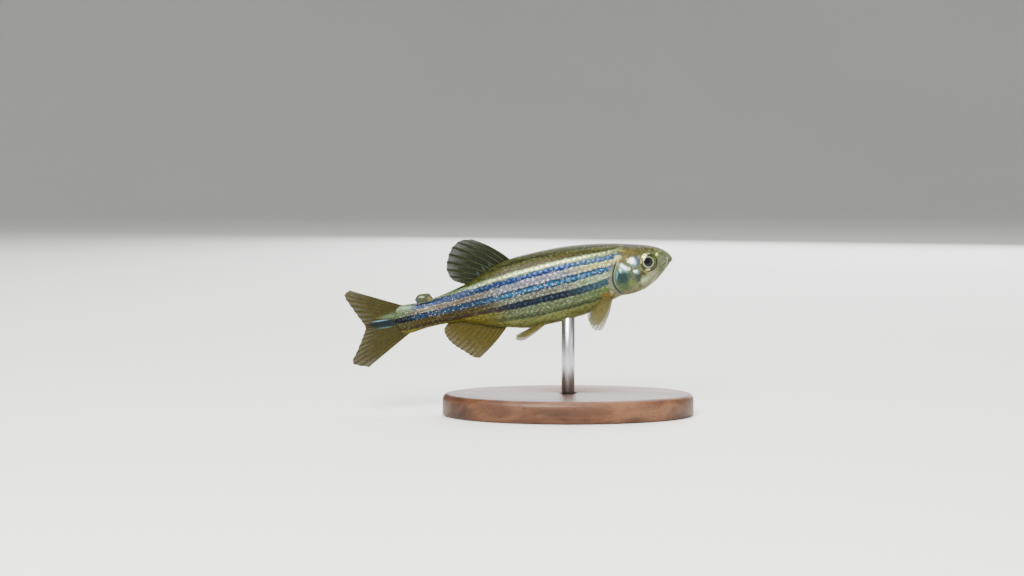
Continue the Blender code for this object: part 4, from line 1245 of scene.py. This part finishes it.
def coat_tree():
    """Geometry Nodes tree that sets a lattice of scales and wraps it on a carrier's chart."""
    tree, given = geometry_tree("danio_coat", {
        "Scale": "Object",
        "Columns": "Int",
        "Rows": "Int",
        "Jitter": "Float",
        "Seed": "Int",
        "Material": "Material",
    })
    wide = add(tree, "ShaderNodeMath", given["Columns"], 1.0, operation="SUBTRACT")
    high = add(tree, "ShaderNodeMath", given["Rows"], 1.0, operation="SUBTRACT")
    lattice = add(tree, "GeometryNodeMeshGrid", wide, high, given["Columns"], given["Rows"])
    half = add(tree, "ShaderNodeMath", wide, 0.5, operation="MULTIPLY")
    shift = add(tree, "ShaderNodeCombineXYZ", half)
    lattice = add(tree, "GeometryNodeTransform", lattice, sockets={"Translation": shift})
    place = add(tree, "GeometryNodeInputPosition")
    row = add(tree, "ShaderNodeSeparateXYZ", place).outputs[1]
    row = add(tree, "ShaderNodeMath", row, operation="ROUND")
    odd = add(tree, "ShaderNodeMath", row, 2.0, operation="FLOORED_MODULO")
    stagger = add(tree, "ShaderNodeMath", odd, 0.5, operation="MULTIPLY")
    random = add(
        tree, "FunctionNodeRandomValue", (-1.0, -1.0, 0.0), (1.0, 1.0, 0.0), None, given["Seed"],
        data_type="FLOAT_VECTOR",
    )
    jitter = add(tree, "ShaderNodeVectorMath", random, operation="SCALE", sockets={"Scale": given["Jitter"]})
    stagger = add(tree, "ShaderNodeCombineXYZ", stagger)
    offset = add(tree, "ShaderNodeVectorMath", stagger, jitter, operation="ADD")
    seats = add(tree, "GeometryNodeSetPosition", lattice, sockets={"Offset": offset})
    seats = add(
        tree, "GeometryNodeStoreNamedAttribute", seats, None, "seat", place, data_type="FLOAT_VECTOR"
    )
    tone = add(tree, "FunctionNodeRandomValue", 0.0, 1.0, None, given["Seed"])
    seats = add(tree, "GeometryNodeStoreNamedAttribute", seats, None, "tone", tone)

    size, shift = (1 / COAT_COLUMNS, 1 / LEVEL_SPAN, 0.0), (0.0, ramp_spot(0.0), 0.0)
    chart = add(tree, "ShaderNodeVectorMath", place, size, shift, operation="MULTIPLY_ADD")
    own = add(tree, "GeometryNodeInputNamedAttribute", "chart", data_type="FLOAT_VECTOR")
    found = {}
    for name, kind in (
        ("cover", "FLOAT"), ("ground_level", "FLOAT"), ("ground_behind", "FLOAT"),
        ("outward", "FLOAT_VECTOR"), ("ground", "FLOAT_VECTOR"),
    ):
        value = place if name == "ground" else add(
            tree, "GeometryNodeInputNamedAttribute", name, data_type=kind
        )
        found[name] = add(
            tree, "GeometryNodeSampleUVSurface", given["Geometry"], value, own, chart, data_type=kind
        )
    covered = add(tree, "FunctionNodeCompare", found["cover"], 0.5, operation="GREATER_THAN")
    covered = add(tree, "FunctionNodeBooleanMath", covered, found["cover"].outputs["Is Valid"])
    tile = add(tree, "GeometryNodeObjectInfo", given["Scale"]).outputs["Geometry"]
    size_by = add(tree, "FunctionNodeRandomValue", *SCALE_SIZES, None, SIZE_SEED)
    size_by = add(tree, "ShaderNodeCombineXYZ", size_by, size_by, 1.0)
    scales = add(tree, "GeometryNodeInstanceOnPoints", seats, covered, tile, sockets={"Scale": size_by})
    scales = add(tree, "GeometryNodeRealizeInstances", scales)
    lost = add(tree, "FunctionNodeBooleanMath", found["ground"].outputs["Is Valid"], operation="NOT")
    scales = add(tree, "GeometryNodeDeleteGeometry", scales, lost)
    for name in ("level", "behind"):
        scales = add(
            tree, "GeometryNodeStoreNamedAttribute", scales, None, name, found[f"ground_{name}"]
        )
    seat = add(tree, "GeometryNodeInputNamedAttribute", "seat", data_type="FLOAT_VECTOR")
    local = add(tree, "GeometryNodeInputNamedAttribute", "local", data_type="FLOAT_VECTOR")
    root = add(tree, "ShaderNodeVectorMath", seat, size, shift, operation="MULTIPLY_ADD")
    patch = add(tree, "ShaderNodeVectorMath", local, (BAKE_PATCH / 2,) * 3, root, operation="MULTIPLY_ADD")
    scales = add(
        tree, "GeometryNodeStoreNamedAttribute", scales, None, "OFBake", patch,
        data_type="FLOAT2", domain="CORNER",
    )
    rise = add(tree, "ShaderNodeSeparateXYZ", place).outputs[2]
    lift = add(tree, "ShaderNodeVectorMath", found["outward"], operation="SCALE", sockets={"Scale": rise})
    wrapped = add(tree, "ShaderNodeVectorMath", found["ground"], lift, operation="ADD")
    scales = add(tree, "GeometryNodeSetPosition", scales, None, wrapped)
    scales = add(tree, "GeometryNodeSetShadeSmooth", scales)
    scales = add(tree, "GeometryNodeRealizeInstances", scales)
    scales = add(tree, "GeometryNodeSetMaterial", scales, None, given["Material"])
    add(tree, "NodeGroupOutput", scales)
    return tree


def coats(coat):
    """Scales of both flanks, of the back and of the belly."""
    tile = scale_tile(coat)
    tree, material = coat_tree(), scale_material()
    for name, made in (
        ("coat_left", flank_carrier(1, coat.depth)),
        ("coat_right", flank_carrier(-1, coat.depth)),
        ("coat_back", ridge_carrier(True, coat.depth)),
        ("coat_belly", ridge_carrier(False, coat.depth)),
    ):
        made.name = name
        run_tree(made, tree, {
            "Scale": tile,
            "Columns": COAT_COLUMNS,
            "Rows": int(LEVEL_SPAN) + 1,
            "Jitter": coat.jitter,
            "Seed": coat.seed,
            "Material": material,
        })
        settle(made, "flank_skin")
    bpy.data.objects.remove(tile)


def revolve(name, profile, sides, place, forward, up, outward, material):
    """Closed form turned about an axis from a profile of radius and height, poles included."""
    points, faces = [place + outward * profile[0][1]], []
    turns = 2 * math.pi * np.arange(sides) / sides
    for radius, height in profile[1:-1]:
        for turn in turns:
            arm = forward * math.cos(turn) + up * math.sin(turn)
            points.append(place + arm * radius + outward * height)
    points.append(place + outward * profile[-1][1])
    last = len(points) - 1
    for j in range(sides):
        k = (j + 1) % sides
        faces += [(0, 1 + j, 1 + k), (last, last - sides + k, last - sides + j)]
    faces += quads(len(profile) - 2, sides, ringed=True, first=1)
    return new_mesh(name, points, faces, material)


def face_out(obj):
    """Turns the faces of a closed mesh outwards."""
    work = bmesh.new()
    work.from_mesh(obj.data)
    bmesh.ops.recalc_face_normals(work, faces=work.faces)
    work.to_mesh(obj.data)
    work.free()
    return obj


def eye_material():
    """Eye of a fish: black pupil, silver ring and olive iris with gold and a painted highlight, under a
    clear wet cornea.
    """
    material, tree = new_material("wet_cornea")
    flat = add(tree, "ShaderNodeUVMap", uv_map="Iris")
    shift = [-0.5 * IRIS_SPAN - middle for middle in IRIS_CENTRE] + [0.0]
    place = add(tree, "ShaderNodeVectorMath", flat, (IRIS_SPAN,) * 3, shift, operation="MULTIPLY_ADD")
    noise = add(tree, "ShaderNodeTexNoise", sockets={"Vector": place, "Scale": 5.0, "Detail": 4.0})
    wobble = add(tree, "ShaderNodeMapRange", noise, 0.0, 1.0, -0.07, 0.07)
    far = add(tree, "ShaderNodeVectorMath", place, operation="LENGTH").outputs["Value"]
    far = add(tree, "ShaderNodeMath", far, wobble, operation="ADD")
    share = add(tree, "ShaderNodeMath", far, 1 / IRIS_REACH, operation="MULTIPLY")
    stops = [(r / IRIS_REACH, linear(tint)) for r, tint in IRIS_RINGS]
    colour = add(tree, "ShaderNodeValToRGB", share, stops=stops)
    for x, y, long, high, tint, strength in IRIS_MARKS:
        shift = add(tree, "ShaderNodeVectorMath", place, (x, y, 0.0), operation="SUBTRACT")
        shift = add(tree, "ShaderNodeVectorMath", shift, (1 / long, 1 / high, 0.0), operation="MULTIPLY")
        apart = add(tree, "ShaderNodeVectorMath", shift, operation="LENGTH").outputs["Value"]
        spot = add(tree, "ShaderNodeMapRange", apart, 1.0, 0.4, 0.0, strength, **SOFT)
        outside = add(tree, "ShaderNodeMapRange", far, 0.78, 0.88, **SOFT)
        spot = add(tree, "ShaderNodeMath", spot, outside, operation="MULTIPLY")
        colour = add(tree, "ShaderNodeMix", spot, colour, linear(tint), data_type="RGBA")
    speck = add(tree, "ShaderNodeMapRange", noise, 0.35, 0.7, 0.72, 1.2)
    colour = add(tree, "ShaderNodeVectorMath", colour, operation="SCALE", sockets={"Scale": speck})
    ring = add(tree, "ShaderNodeMapRange", far, 0.62, 0.68, 0.0, 0.45, **SOFT)
    shader = add(tree, "ShaderNodeBsdfPrincipled", sockets={
        "Base Color": colour,
        "Metallic": ring,
        "Roughness": 0.25,
        "Specular IOR Level": 0.08,
        "Coat Weight": 0.3,
        "Coat Roughness": 0.03,
    })
    add(tree, "ShaderNodeOutputMaterial", shader)
    return material


def eyes():
    """Both eyeballs in their sockets."""
    material = eye_material()
    heights = [p[1] for p in EYE_PROFILE]
    radii = [p[0] for p in EYE_PROFILE]
    shares = np.linspace(0, 1, EYE_RINGS)
    profile = np.stack((along(radii, shares), along(heights, shares)), -1)
    profile[0, 0] = profile[-1, 0] = 0.0
    for side, word in SIDES:
        place, outward = skin_axis(EYE_U, EYE_V, side)
        up = np.array((0.0, 0.0, 1.0))
        up -= outward * (up @ outward)
        up /= np.linalg.norm(up)
        back = np.cross(outward, up) * side
        obj = revolve(f"eyeball_{word}", profile, EYE_SIDES, place, back, up, outward, material)
        turn = np.array(TURN)
        flat = np.array([v.co for v in obj.data.vertices]) / MM - to_world(place) / MM
        iris = np.stack((flat @ (turn @ back), flat @ (turn @ up)), -1) / IRIS_SPAN + 0.5
        set_uv(face_out(obj), "Iris", iris)
        settle(obj, "eye", f"eye_{word}")


def fin_form(shape, side):
    """Function giving a fin's points at a share across its rays and a share out, and its axis."""
    root, margin = (
        np.array([(-p[0], side * p[1] if len(p) > 2 else 0.0, p[-1]) for p in shape[edge]])
        for edge in ("root", "margin")
    )
    across = np.cross(along(margin, 0.5) - along(root, 0.5), margin[-1] - margin[0])
    across /= np.linalg.norm(across)
    bow, wave = shape.get("bow", 0.0), shape.get("wave", 0.0)
    cup = shape.get("cup", 0.0) * side

    def form(share, out):
        share, out = np.broadcast_arrays(np.asarray(share, float), np.asarray(out, float))
        foot, tip = along(root, share), along(margin, share)
        lead = np.cross(tip - foot, across)
        arch = 4 * out * (1 - out) * bow * (1 - share)
        swing = cup * np.sin(math.pi * share) * out + wave * np.sin(2 * math.pi * share) * out**2
        line = foot + (tip - foot) * out[..., None]
        return line + lead * arch[..., None] + across * swing[..., None]

    return form, across


def membrane(name, shape, side, sizes, material):
    """Closed thin web of a fin, a little shorter between its rays."""
    form, across = fin_form(shape, side)
    columns = (shape["rays"] - 1) * WEB_COLUMNS + 1
    share = np.linspace(0, 1, columns)
    reach = 1 - WEB_NOTCH * np.abs(np.sin(math.pi * share * (shape["rays"] - 1)))
    share, out = np.meshgrid(share, np.linspace(0, 1, WEB_ROWS), indexing="ij")
    out = out * reach[:, None]
    centre = form(share, out)
    half = (sizes.membrane + (sizes.margin - sizes.membrane) * out[..., None]) / MM / 2
    near, far = centre - across * half, centre + across * half
    count, edge = share.size, border(columns, WEB_ROWS)
    faces = quads(columns, WEB_ROWS)
    faces += [tuple(count + point for point in reversed(face)) for face in faces]
    faces += [(a, b, count + b, count + a) for a, b in zip(edge, edge[1:] + edge[:1])]
    points = np.concatenate((near.reshape(-1, 3), far.reshape(-1, 3)))
    obj = face_out(new_mesh(name, points, faces, material))
    set_uv(obj, "Fin", np.tile(np.stack((share, out), -1).reshape(-1, 2), (2, 1)))
    return obj


def ray_lines(shape, side, sizes):
    """Paths of a fin's rays, each with its radii and its shares out along the ray."""
    form, _ = fin_form(shape, side)
    pitch = 1 / (shape["rays"] - 1)
    lines = []

    def line(own, fork, twig, start, end, steps, scale):
        """Adds a part of a ray from its own share across, its fork, its twig and its size."""
        out = np.linspace(start, end, steps)
        share = own + fork * RAY_PARTING * pitch * smooth(0.40, 0.72, out)
        share = share + twig * TWIG_PARTING * pitch * smooth(0.68, 1.0, out)
        thick = (sizes.ray + (sizes.ray_tip - sizes.ray) * out**0.7) * scale
        lines.append((form(np.clip(share, 0.0, 1.0), out), thick, out))

    for k in range(shape["rays"]):
        own = k * pitch
        if k == 0 or shape.get("simple"):
            line(own, 0, 0, 0.0, RAY_END, 20, 1.35 if k == 0 else 1.0)
            continue
        line(own, 0, 0, 0.0, RAY_FORK, 10, 1.0)
        for fork in (-1, 1):
            line(own, fork, 0, RAY_FORK, RAY_TWIG, 7, 0.85)
            for twig in (-1, 1):
                line(own, fork, twig, RAY_TWIG, RAY_END, 7, 0.75)
    return lines


def tube_tree():
    """Geometry Nodes tree that turns a wire into tapered tubes by its thickness."""
    known = bpy.data.node_groups.get("danio_tubes")
    if known:
        return known
    tree, given = geometry_tree("danio_tubes", {"Sides": "Int", "Material": "Material"})
    wires = add(tree, "GeometryNodeMeshToCurve", given["Geometry"])
    thick = add(tree, "GeometryNodeInputNamedAttribute", "thick")
    ring = add(tree, "GeometryNodeCurvePrimitiveCircle", given["Sides"], sockets={"Radius": 1.0})
    tubes = add(
        tree, "GeometryNodeCurveToMesh", wires, ring, sockets={"Scale": thick, "Fill Caps": True}
    )
    tubes = add(tree, "GeometryNodeSetShadeSmooth", tubes)
    tubes = add(tree, "GeometryNodeRealizeInstances", tubes)
    tubes = add(tree, "GeometryNodeSetMaterial", tubes, None, given["Material"])
    add(tree, "NodeGroupOutput", tubes)
    return tree


def tubes(name, lines, sides, material):
    """One mesh of tapered tubes along paths with their radii in metres."""
    mesh = bpy.data.meshes.new(name)
    points, edges, thick, out = [], [], [], []
    for path, radii, shares in lines:
        edges += [(len(points) + k, len(points) + k + 1) for k in range(len(path) - 1)]
        points += to_world(path).tolist()
        thick += list(radii)
        out += list(shares)
    mesh.from_pydata(points, edges, [])
    obj = bpy.data.objects.new(name, mesh)
    bpy.context.scene.collection.objects.link(obj)
    set_attribute(obj, "thick", thick)
    set_attribute(obj, "out", out)
    return face_out(run_tree(obj, tube_tree(), {"Sides": sides, "Material": material}))


def membrane_material(name, look):
    """Fin web: clear skin with fine pigment that lies thicker along the rays."""
    material, tree = new_material(f"{name}_web")
    place = fish_coordinates(tree)
    web = add(tree, "ShaderNodeUVMap", uv_map="Fin")
    axes = add(tree, "ShaderNodeSeparateXYZ", web).outputs
    turns = add(tree, "ShaderNodeMath", axes[0], 2 * math.pi * (look["rays"] - 1), operation="MULTIPLY")
    beside = add(tree, "ShaderNodeMath", turns, operation="COSINE")
    noise = add(tree, "ShaderNodeTexNoise", sockets={"Vector": place, "Scale": 3.0, "Detail": 4.0})
    tone = add(tree, "ShaderNodeMapRange", noise, 0.3, 0.7, 0.75, 1.2)
    base, tip = linear(look["base"]), linear(look["tip"])
    colour = add(tree, "ShaderNodeMix", axes[1], base, tip, data_type="RGBA")
    alpha = add(tree, "ShaderNodeMapRange", axes[1], 0.5, 1.0, *look["alpha"], **SOFT)
    pigment = add(tree, "ShaderNodeMapRange", beside, 0.2, 1.0, 0.0, 0.22, **SOFT)
    alpha = add(tree, "ShaderNodeMath", alpha, pigment, operation="ADD")
    for mark in look.get("marks", ()):
        colour, share = marked(tree, place, colour, mark)
        alpha = add(tree, "ShaderNodeMath", share, 0.45, alpha, operation="MULTIPLY_ADD")
    colour = add(tree, "ShaderNodeVectorMath", colour, operation="SCALE", sockets={"Scale": tone})
    alpha = add(tree, "ShaderNodeMath", alpha, 1.0, operation="MINIMUM")
    shader = add(tree, "ShaderNodeBsdfPrincipled", sockets={
        "Base Color": colour,
        "Alpha": alpha,
        "Roughness": add(tree, "ShaderNodeMapRange", noise, 0.3, 0.7, 0.42, 0.58),
        "Specular IOR Level": 0.08,
    })
    add(tree, "ShaderNodeOutputMaterial", shader)
    return material


def ray_material(name, look):
    """Bony fin rays: horn-coloured rods with a joint every 0.35 mm, as the real ones have."""
    material, tree = new_material(f"{name}_horn")
    place = fish_coordinates(tree)
    out = add(tree, "ShaderNodeAttribute", attribute_name="out").outputs["Fac"]
    turns = look["length"] / RAY_JOINT * 2 * math.pi
    joints = add(tree, "ShaderNodeMath", out, turns, operation="MULTIPLY")
    joints = add(tree, "ShaderNodeMath", joints, operation="SINE")
    base, tip = linear(look["ray"]), linear(look["ray_tip"])
    colour = add(tree, "ShaderNodeMix", out, base, tip, data_type="RGBA")
    for mark in look.get("marks", ()):
        colour, _ = marked(tree, place, colour, mark)
    tone = add(tree, "ShaderNodeMapRange", joints, 0.6, 1.0, 1.0, 0.7, **SOFT)
    colour = add(tree, "ShaderNodeVectorMath", colour, operation="SCALE", sockets={"Scale": tone})
    fade = add(tree, "ShaderNodeMapRange", out, 0.1, 1.0, look.get("solid", 1.0), look.get("fade", 0.7))
    shader = add(tree, "ShaderNodeBsdfPrincipled", sockets={
        "Base Color": colour,
        "Alpha": fade,
        "Roughness": 0.45,
        "Specular IOR Level": 0.12,
    })
    add(tree, "ShaderNodeOutputMaterial", shader)
    return material


def fins(sizes):
    """Web and rays of every fin, and the flap on the tail stalk."""
    for name, shape in FINS.items():
        look = {**FIN_LOOKS[name], "rays": shape["rays"]}
        web, horn = membrane_material(name, look), ray_material(name, look)
        paired = len(shape["root"][0]) > 2
        for side, word in SIDES if paired else ((1, ""),):
            node = f"{name}_{word}" if paired else name
            slot = "flap" if name == "tail_flap" else "fin"
            settle(membrane(f"{node}_membrane", shape, side, sizes, web), slot, node)
            lines = ray_lines(shape, side, sizes)
            settle(tubes(f"{node}_rays", lines, RAY_SIDES, horn), slot)


def barbel_material():
    """Feelers: soft bare skin, olive at the root and paler out to the tip."""
    material, tree = new_material("feeler_skin")
    out = add(tree, "ShaderNodeAttribute", attribute_name="out").outputs["Fac"]
    place = fish_coordinates(tree)
    noise = add(tree, "ShaderNodeTexNoise", sockets={"Vector": place, "Scale": 8.0, "Detail": 3.0})
    base, tip = (linear(tint) for tint in BARBEL_COLOURS)
    colour = add(tree, "ShaderNodeMix", out, base, tip, data_type="RGBA")
    tone = add(tree, "ShaderNodeMapRange", noise, 0.3, 0.7, 0.8, 1.15)
    colour = add(tree, "ShaderNodeVectorMath", colour, operation="SCALE", sockets={"Scale": tone})
    shader = add(tree, "ShaderNodeBsdfPrincipled", sockets={
        "Base Color": colour,
        "Roughness": 0.4,
        "Coat Weight": 0.3,
        "Normal": add(tree, "ShaderNodeBump", sockets={"Distance": 0.01 * MM, "Height": noise}),
    })
    add(tree, "ShaderNodeOutputMaterial", shader)
    return material


def barbels(sizes):
    """Two pairs of feelers."""
    material = barbel_material()
    shares = np.linspace(0, 1, BARBEL_POINTS)
    radii = sizes.barbel + (sizes.barbel_tip - sizes.barbel) * shares
    for name, route in BARBEL_ROUTES.items():
        for side, word in SIDES:
            path = along([(-u, side * y, v) for u, y, v in route], shares)
            lines = [(path, radii, shares)]
            piece = tubes(f"{name}_{word}_feeler", lines, BARBEL_SIDES, material)
            settle(piece, "barbel", f"{name}_{word}")


def walnut():
    """Oiled walnut: dark growth lines along the plinth and short open pores."""
    material, tree = new_material("oiled_walnut")
    place = add(tree, "ShaderNodeTexCoord").outputs["Object"]
    stretched = add(tree, "ShaderNodeMapping", place, None, None, WALNUT_GRAIN)
    figure = add(tree, "ShaderNodeTexNoise", sockets={
        "Vector": stretched, "Scale": 1.0, "Detail": 5.0, "Distortion": 0.6,
    })
    pores = add(tree, "ShaderNodeMapping", place, None, None, WALNUT_PORES)
    pores = add(tree, "ShaderNodeTexNoise", sockets={"Vector": pores, "Scale": 1.0, "Detail": 2.0})
    pores = add(tree, "ShaderNodeMapRange", pores, 0.30, 0.42, **SOFT)
    stops = [(0.3, linear("#2c1a10")), (0.5, linear("#4a2e1d")), (0.68, linear("#66442d"))]
    colour = add(tree, "ShaderNodeValToRGB", figure, stops=stops)
    tone = add(tree, "ShaderNodeMapRange", pores, 0.0, 1.0, 0.55, 1.0)
    colour = add(tree, "ShaderNodeVectorMath", colour, operation="SCALE", sockets={"Scale": tone})
    shader = add(tree, "ShaderNodeBsdfPrincipled", sockets={
        "Base Color": colour,
        "Roughness": add(tree, "ShaderNodeMapRange", pores, 0.0, 1.0, 0.62, 0.46),
        "Specular IOR Level": 0.3,
        "Normal": add(tree, "ShaderNodeBump", sockets={
            "Strength": 0.25, "Distance": 0.03 * MM, "Height": pores,
        }),
    })
    add(tree, "ShaderNodeOutputMaterial", shader)
    return material


def brushed_steel():
    """Stainless steel brushed along the rod, so its light draws out in fine lines."""
    material, tree = new_material("brushed_stainless_steel")
    place = add(tree, "ShaderNodeTexCoord").outputs["Object"]
    lines = add(tree, "ShaderNodeMapping", place, None, None, STEEL_LINES)
    lines = add(tree, "ShaderNodeTexNoise", sockets={"Vector": lines, "Scale": 1.0, "Detail": 2.0})
    shader = add(tree, "ShaderNodeBsdfPrincipled", sockets={
        "Base Color": linear("#b8bbbe"),
        "Metallic": 1.0,
        "Roughness": add(tree, "ShaderNodeMapRange", lines, 0.3, 0.7, 0.22, 0.38),
        "Normal": add(tree, "ShaderNodeBump", sockets={
            "Strength": 0.3, "Distance": 0.01 * MM, "Height": lines,
        }),
    })
    add(tree, "ShaderNodeOutputMaterial", shader)
    return material


def stack(name, rings, material):
    """Closed mesh through rings of points in millimetres, from its lowest to its last ring."""
    sides = len(rings[0])
    points = [Vector(p) * MM for ring in rings for p in ring]
    faces = [tuple(reversed(range(sides))), tuple(range(len(points) - sides, len(points)))]
    faces += quads(len(rings), sides, ringed=True)
    return face_out(new_mesh(name, points, faces, material, turned=False))


def plinth(sizes):
    """Oval walnut plinth with a rounded upper edge and the rod's hole."""
    length, width, height = PLINTH
    edge, hole = sizes.edge / MM, sizes.rod / MM / 2 + HOLE_PLAY
    profile = [(PLINTH_CHAMFER, 0.0), (0.0, PLINTH_CHAMFER), (0.0, height - edge - 0.1)]
    for turn in np.linspace(0, math.pi / 2, 12):
        profile.append((edge * (1 - math.cos(turn)), height - edge * (1 - math.sin(turn))))
    turns = 2 * math.pi * np.arange(PLINTH_SIDES) / PLINTH_SIDES
    rings = []
    for inset, z in profile:
        long, wide = length / 2 - inset, width / 2 - inset
        rings.append([(long * math.cos(a), wide * math.sin(a), z) for a in turns])
    for radius, z in ((hole + 0.15, height), (hole, height - 0.12), (hole, height - ROD_SINK - 0.3)):
        rings.append(circle(radius, z, PLINTH_SIDES))
    settle(stack("plinth", rings, walnut()), "stand_wood", "stand_base")


def rod(sizes):
    """Steel rod from the plinth's hole up into the belly."""
    radius, foot, top = sizes.rod / MM / 2, PLINTH[2] - ROD_SINK, BELLY_HEIGHT + ROD_REACH
    end = radius - ROD_CHAMFER
    profile = ((end, foot), (radius, foot + ROD_CHAMFER), (radius, top - ROD_CHAMFER), (end, top))
    rings = [circle(r, z, ROD_SIDES) for r, z in profile]
    settle(stack("rod", rings, brushed_steel()), "stand_steel", "stand_rod")


def paper():
    """Studio paper: matt, off-white, with a faint unevenness."""
    material, tree = new_material("studio_paper")
    place = add(tree, "ShaderNodeTexCoord").outputs["Object"]
    noise = add(tree, "ShaderNodeTexNoise", sockets={"Vector": place, "Scale": 3.0})
    stops = [(0.3, linear("#dededa")), (0.7, linear("#e6e6e2"))]
    shader = add(tree, "ShaderNodeBsdfPrincipled", sockets={
        "Base Color": add(tree, "ShaderNodeValToRGB", noise, stops=stops),
        "Roughness": 0.9,
    })
    add(tree, "ShaderNodeOutputMaterial", shader)
    return material


def studio(sizes):
    """Pale floor that curves up all round, a soft light over the fish and the camera."""
    profile = [(r, 0.0) for r in (0.05, 0.2, 0.5, FLOOR_FLAT)]
    for turn in np.linspace(0.1, math.pi / 2, 16):
        profile.append((FLOOR_FLAT + FLOOR_CURVE * math.sin(turn), FLOOR_CURVE * (1 - math.cos(turn))))
    profile.append((FLOOR_FLAT + FLOOR_CURVE, FLOOR_TOP))
    points = [(0.0, 0.0, 0.0)]
    for radius, height in profile:
        points += circle(radius, height, FLOOR_SIDES)
    faces = [(0, 1 + j, 1 + (j + 1) % FLOOR_SIDES) for j in range(FLOOR_SIDES)]
    faces += quads(len(profile), FLOOR_SIDES, ringed=True, first=1)
    new_mesh("studio_floor", points, faces, paper(), turned=False)

    middle = Vector(LIGHT_TARGET) * MM
    for name, (x, y, z), size, power, tint in STUDIO_LIGHTS:
        data = bpy.data.lights.new(name, "AREA")
        data.size, data.energy, data.color = size, power, srgb(tint)
        lamp = bpy.data.objects.new(name, data)
        lamp.location = middle + Vector((x, y, z))
        lamp.rotation_euler = (middle - lamp.location).to_track_quat("-Z", "Y").to_euler()
        bpy.context.scene.collection.objects.link(lamp)
    world = bpy.data.worlds.new("studio")
    world.use_nodes = True
    world.node_tree.nodes["Background"].inputs["Color"].default_value = linear("#e3e6e8")
    world.node_tree.nodes["Background"].inputs["Strength"].default_value = WORLD_STRENGTH
    bpy.context.scene.world = world

    data = bpy.data.cameras.new("camera")
    data.lens, data.sensor_width, data.clip_start = sizes.lens, 36.0, 0.005
    camera = bpy.data.objects.new("camera", data)
    target = Vector(CAMERA_TARGET) * MM
    back = Vector((0.0, -math.cos(sizes.elevation), math.sin(sizes.elevation)))
    camera.location = target + back * sizes.distance
    camera.rotation_euler = (-back).to_track_quat("-Z", "Y").to_euler()
    bpy.context.scene.collection.objects.link(camera)
    bpy.context.scene.camera = camera


class DanioSkinOperator(bpy.types.Operator):
    """Builds the skin of the fish"""

    bl_idname = "danio.skin"
    bl_label = "Skin"

    def execute(self, context):
        skin(context.scene.danio_coat)
        return {"FINISHED"}


class DanioCoatOperator(bpy.types.Operator):
    """Builds the scales"""

    bl_idname = "danio.coat"
    bl_label = "Scales"

    def execute(self, context):
        coats(context.scene.danio_coat)
        return {"FINISHED"}


class DanioEyesOperator(bpy.types.Operator):
    """Builds both eyes"""

    bl_idname = "danio.eyes"
    bl_label = "Eyes"

    def execute(self, context):
        eyes()
        return {"FINISHED"}


class DanioFinsOperator(bpy.types.Operator):
    """Builds the fins"""

    bl_idname = "danio.fins"
    bl_label = "Fins"

    def execute(self, context):
        fins(context.scene.danio_fins)
        return {"FINISHED"}


class DanioBarbelsOperator(bpy.types.Operator):
    """Builds the feelers of snout and jaw"""

    bl_idname = "danio.barbels"
    bl_label = "Barbels"

    def execute(self, context):
        barbels(context.scene.danio_fins)
        return {"FINISHED"}


class DanioStandOperator(bpy.types.Operator):
    """Builds the plinth and its rod"""

    bl_idname = "danio.stand"
    bl_label = "Stand"

    def execute(self, context):
        plinth(context.scene.danio_stand)
        rod(context.scene.danio_stand)
        return {"FINISHED"}


class DanioStageOperator(bpy.types.Operator):
    """Builds the studio with its lights and camera"""

    bl_idname = "danio.stage"
    bl_label = "Stage"

    def execute(self, context):
        studio(context.scene.danio_stage)
        return {"FINISHED"}


OPERATORS = (
    DanioSkinOperator, DanioCoatOperator, DanioEyesOperator, DanioFinsOperator,
    DanioBarbelsOperator, DanioStandOperator, DanioStageOperator,
)
GROUPS = {
    "danio_palette": DanioPalette,
    "danio_coat": DanioCoat,
    "danio_fins": DanioFins,
    "danio_stand": DanioStand,
    "danio_stage": DanioStage,
}


class DanioPanel(bpy.types.Panel):
    """Lists the pieces of the fish with their sizes and colours"""

    bl_idname = "VIEW3D_PT_danio"
    bl_label = "Zebra danio"
    bl_space_type = "VIEW_3D"
    bl_region_type = "UI"
    bl_category = "Danio"

    def draw(self, context):
        for operator in OPERATORS:
            self.layout.operator(operator.bl_idname)
        for name, group in GROUPS.items():
            box = self.layout.box()
            box.label(text=name.replace("_", " ").capitalize())
            for field in group.__annotations__:
                box.prop(getattr(context.scene, name), field)


def register():
    """Registers the classes and gives the scene their settings."""
    for group in GROUPS.values():
        bpy.utils.register_class(group)
    for operator in (*OPERATORS, DanioPanel):
        bpy.utils.register_class(operator)
    for name, group in GROUPS.items():
        setattr(bpy.types.Scene, name, PointerProperty(type=group))


def unregister():
    """Takes the settings and the classes away again."""
    for name in GROUPS:
        delattr(bpy.types.Scene, name)
    for made in (DanioPanel, *OPERATORS, *GROUPS.values()):
        bpy.utils.unregister_class(made)


def main():
    """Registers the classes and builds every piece."""
    register()
    for operator in OPERATORS:
        group, name = operator.bl_idname.split(".")
        getattr(getattr(bpy.ops, group), name)()


if __name__ == "__main__":
    main()
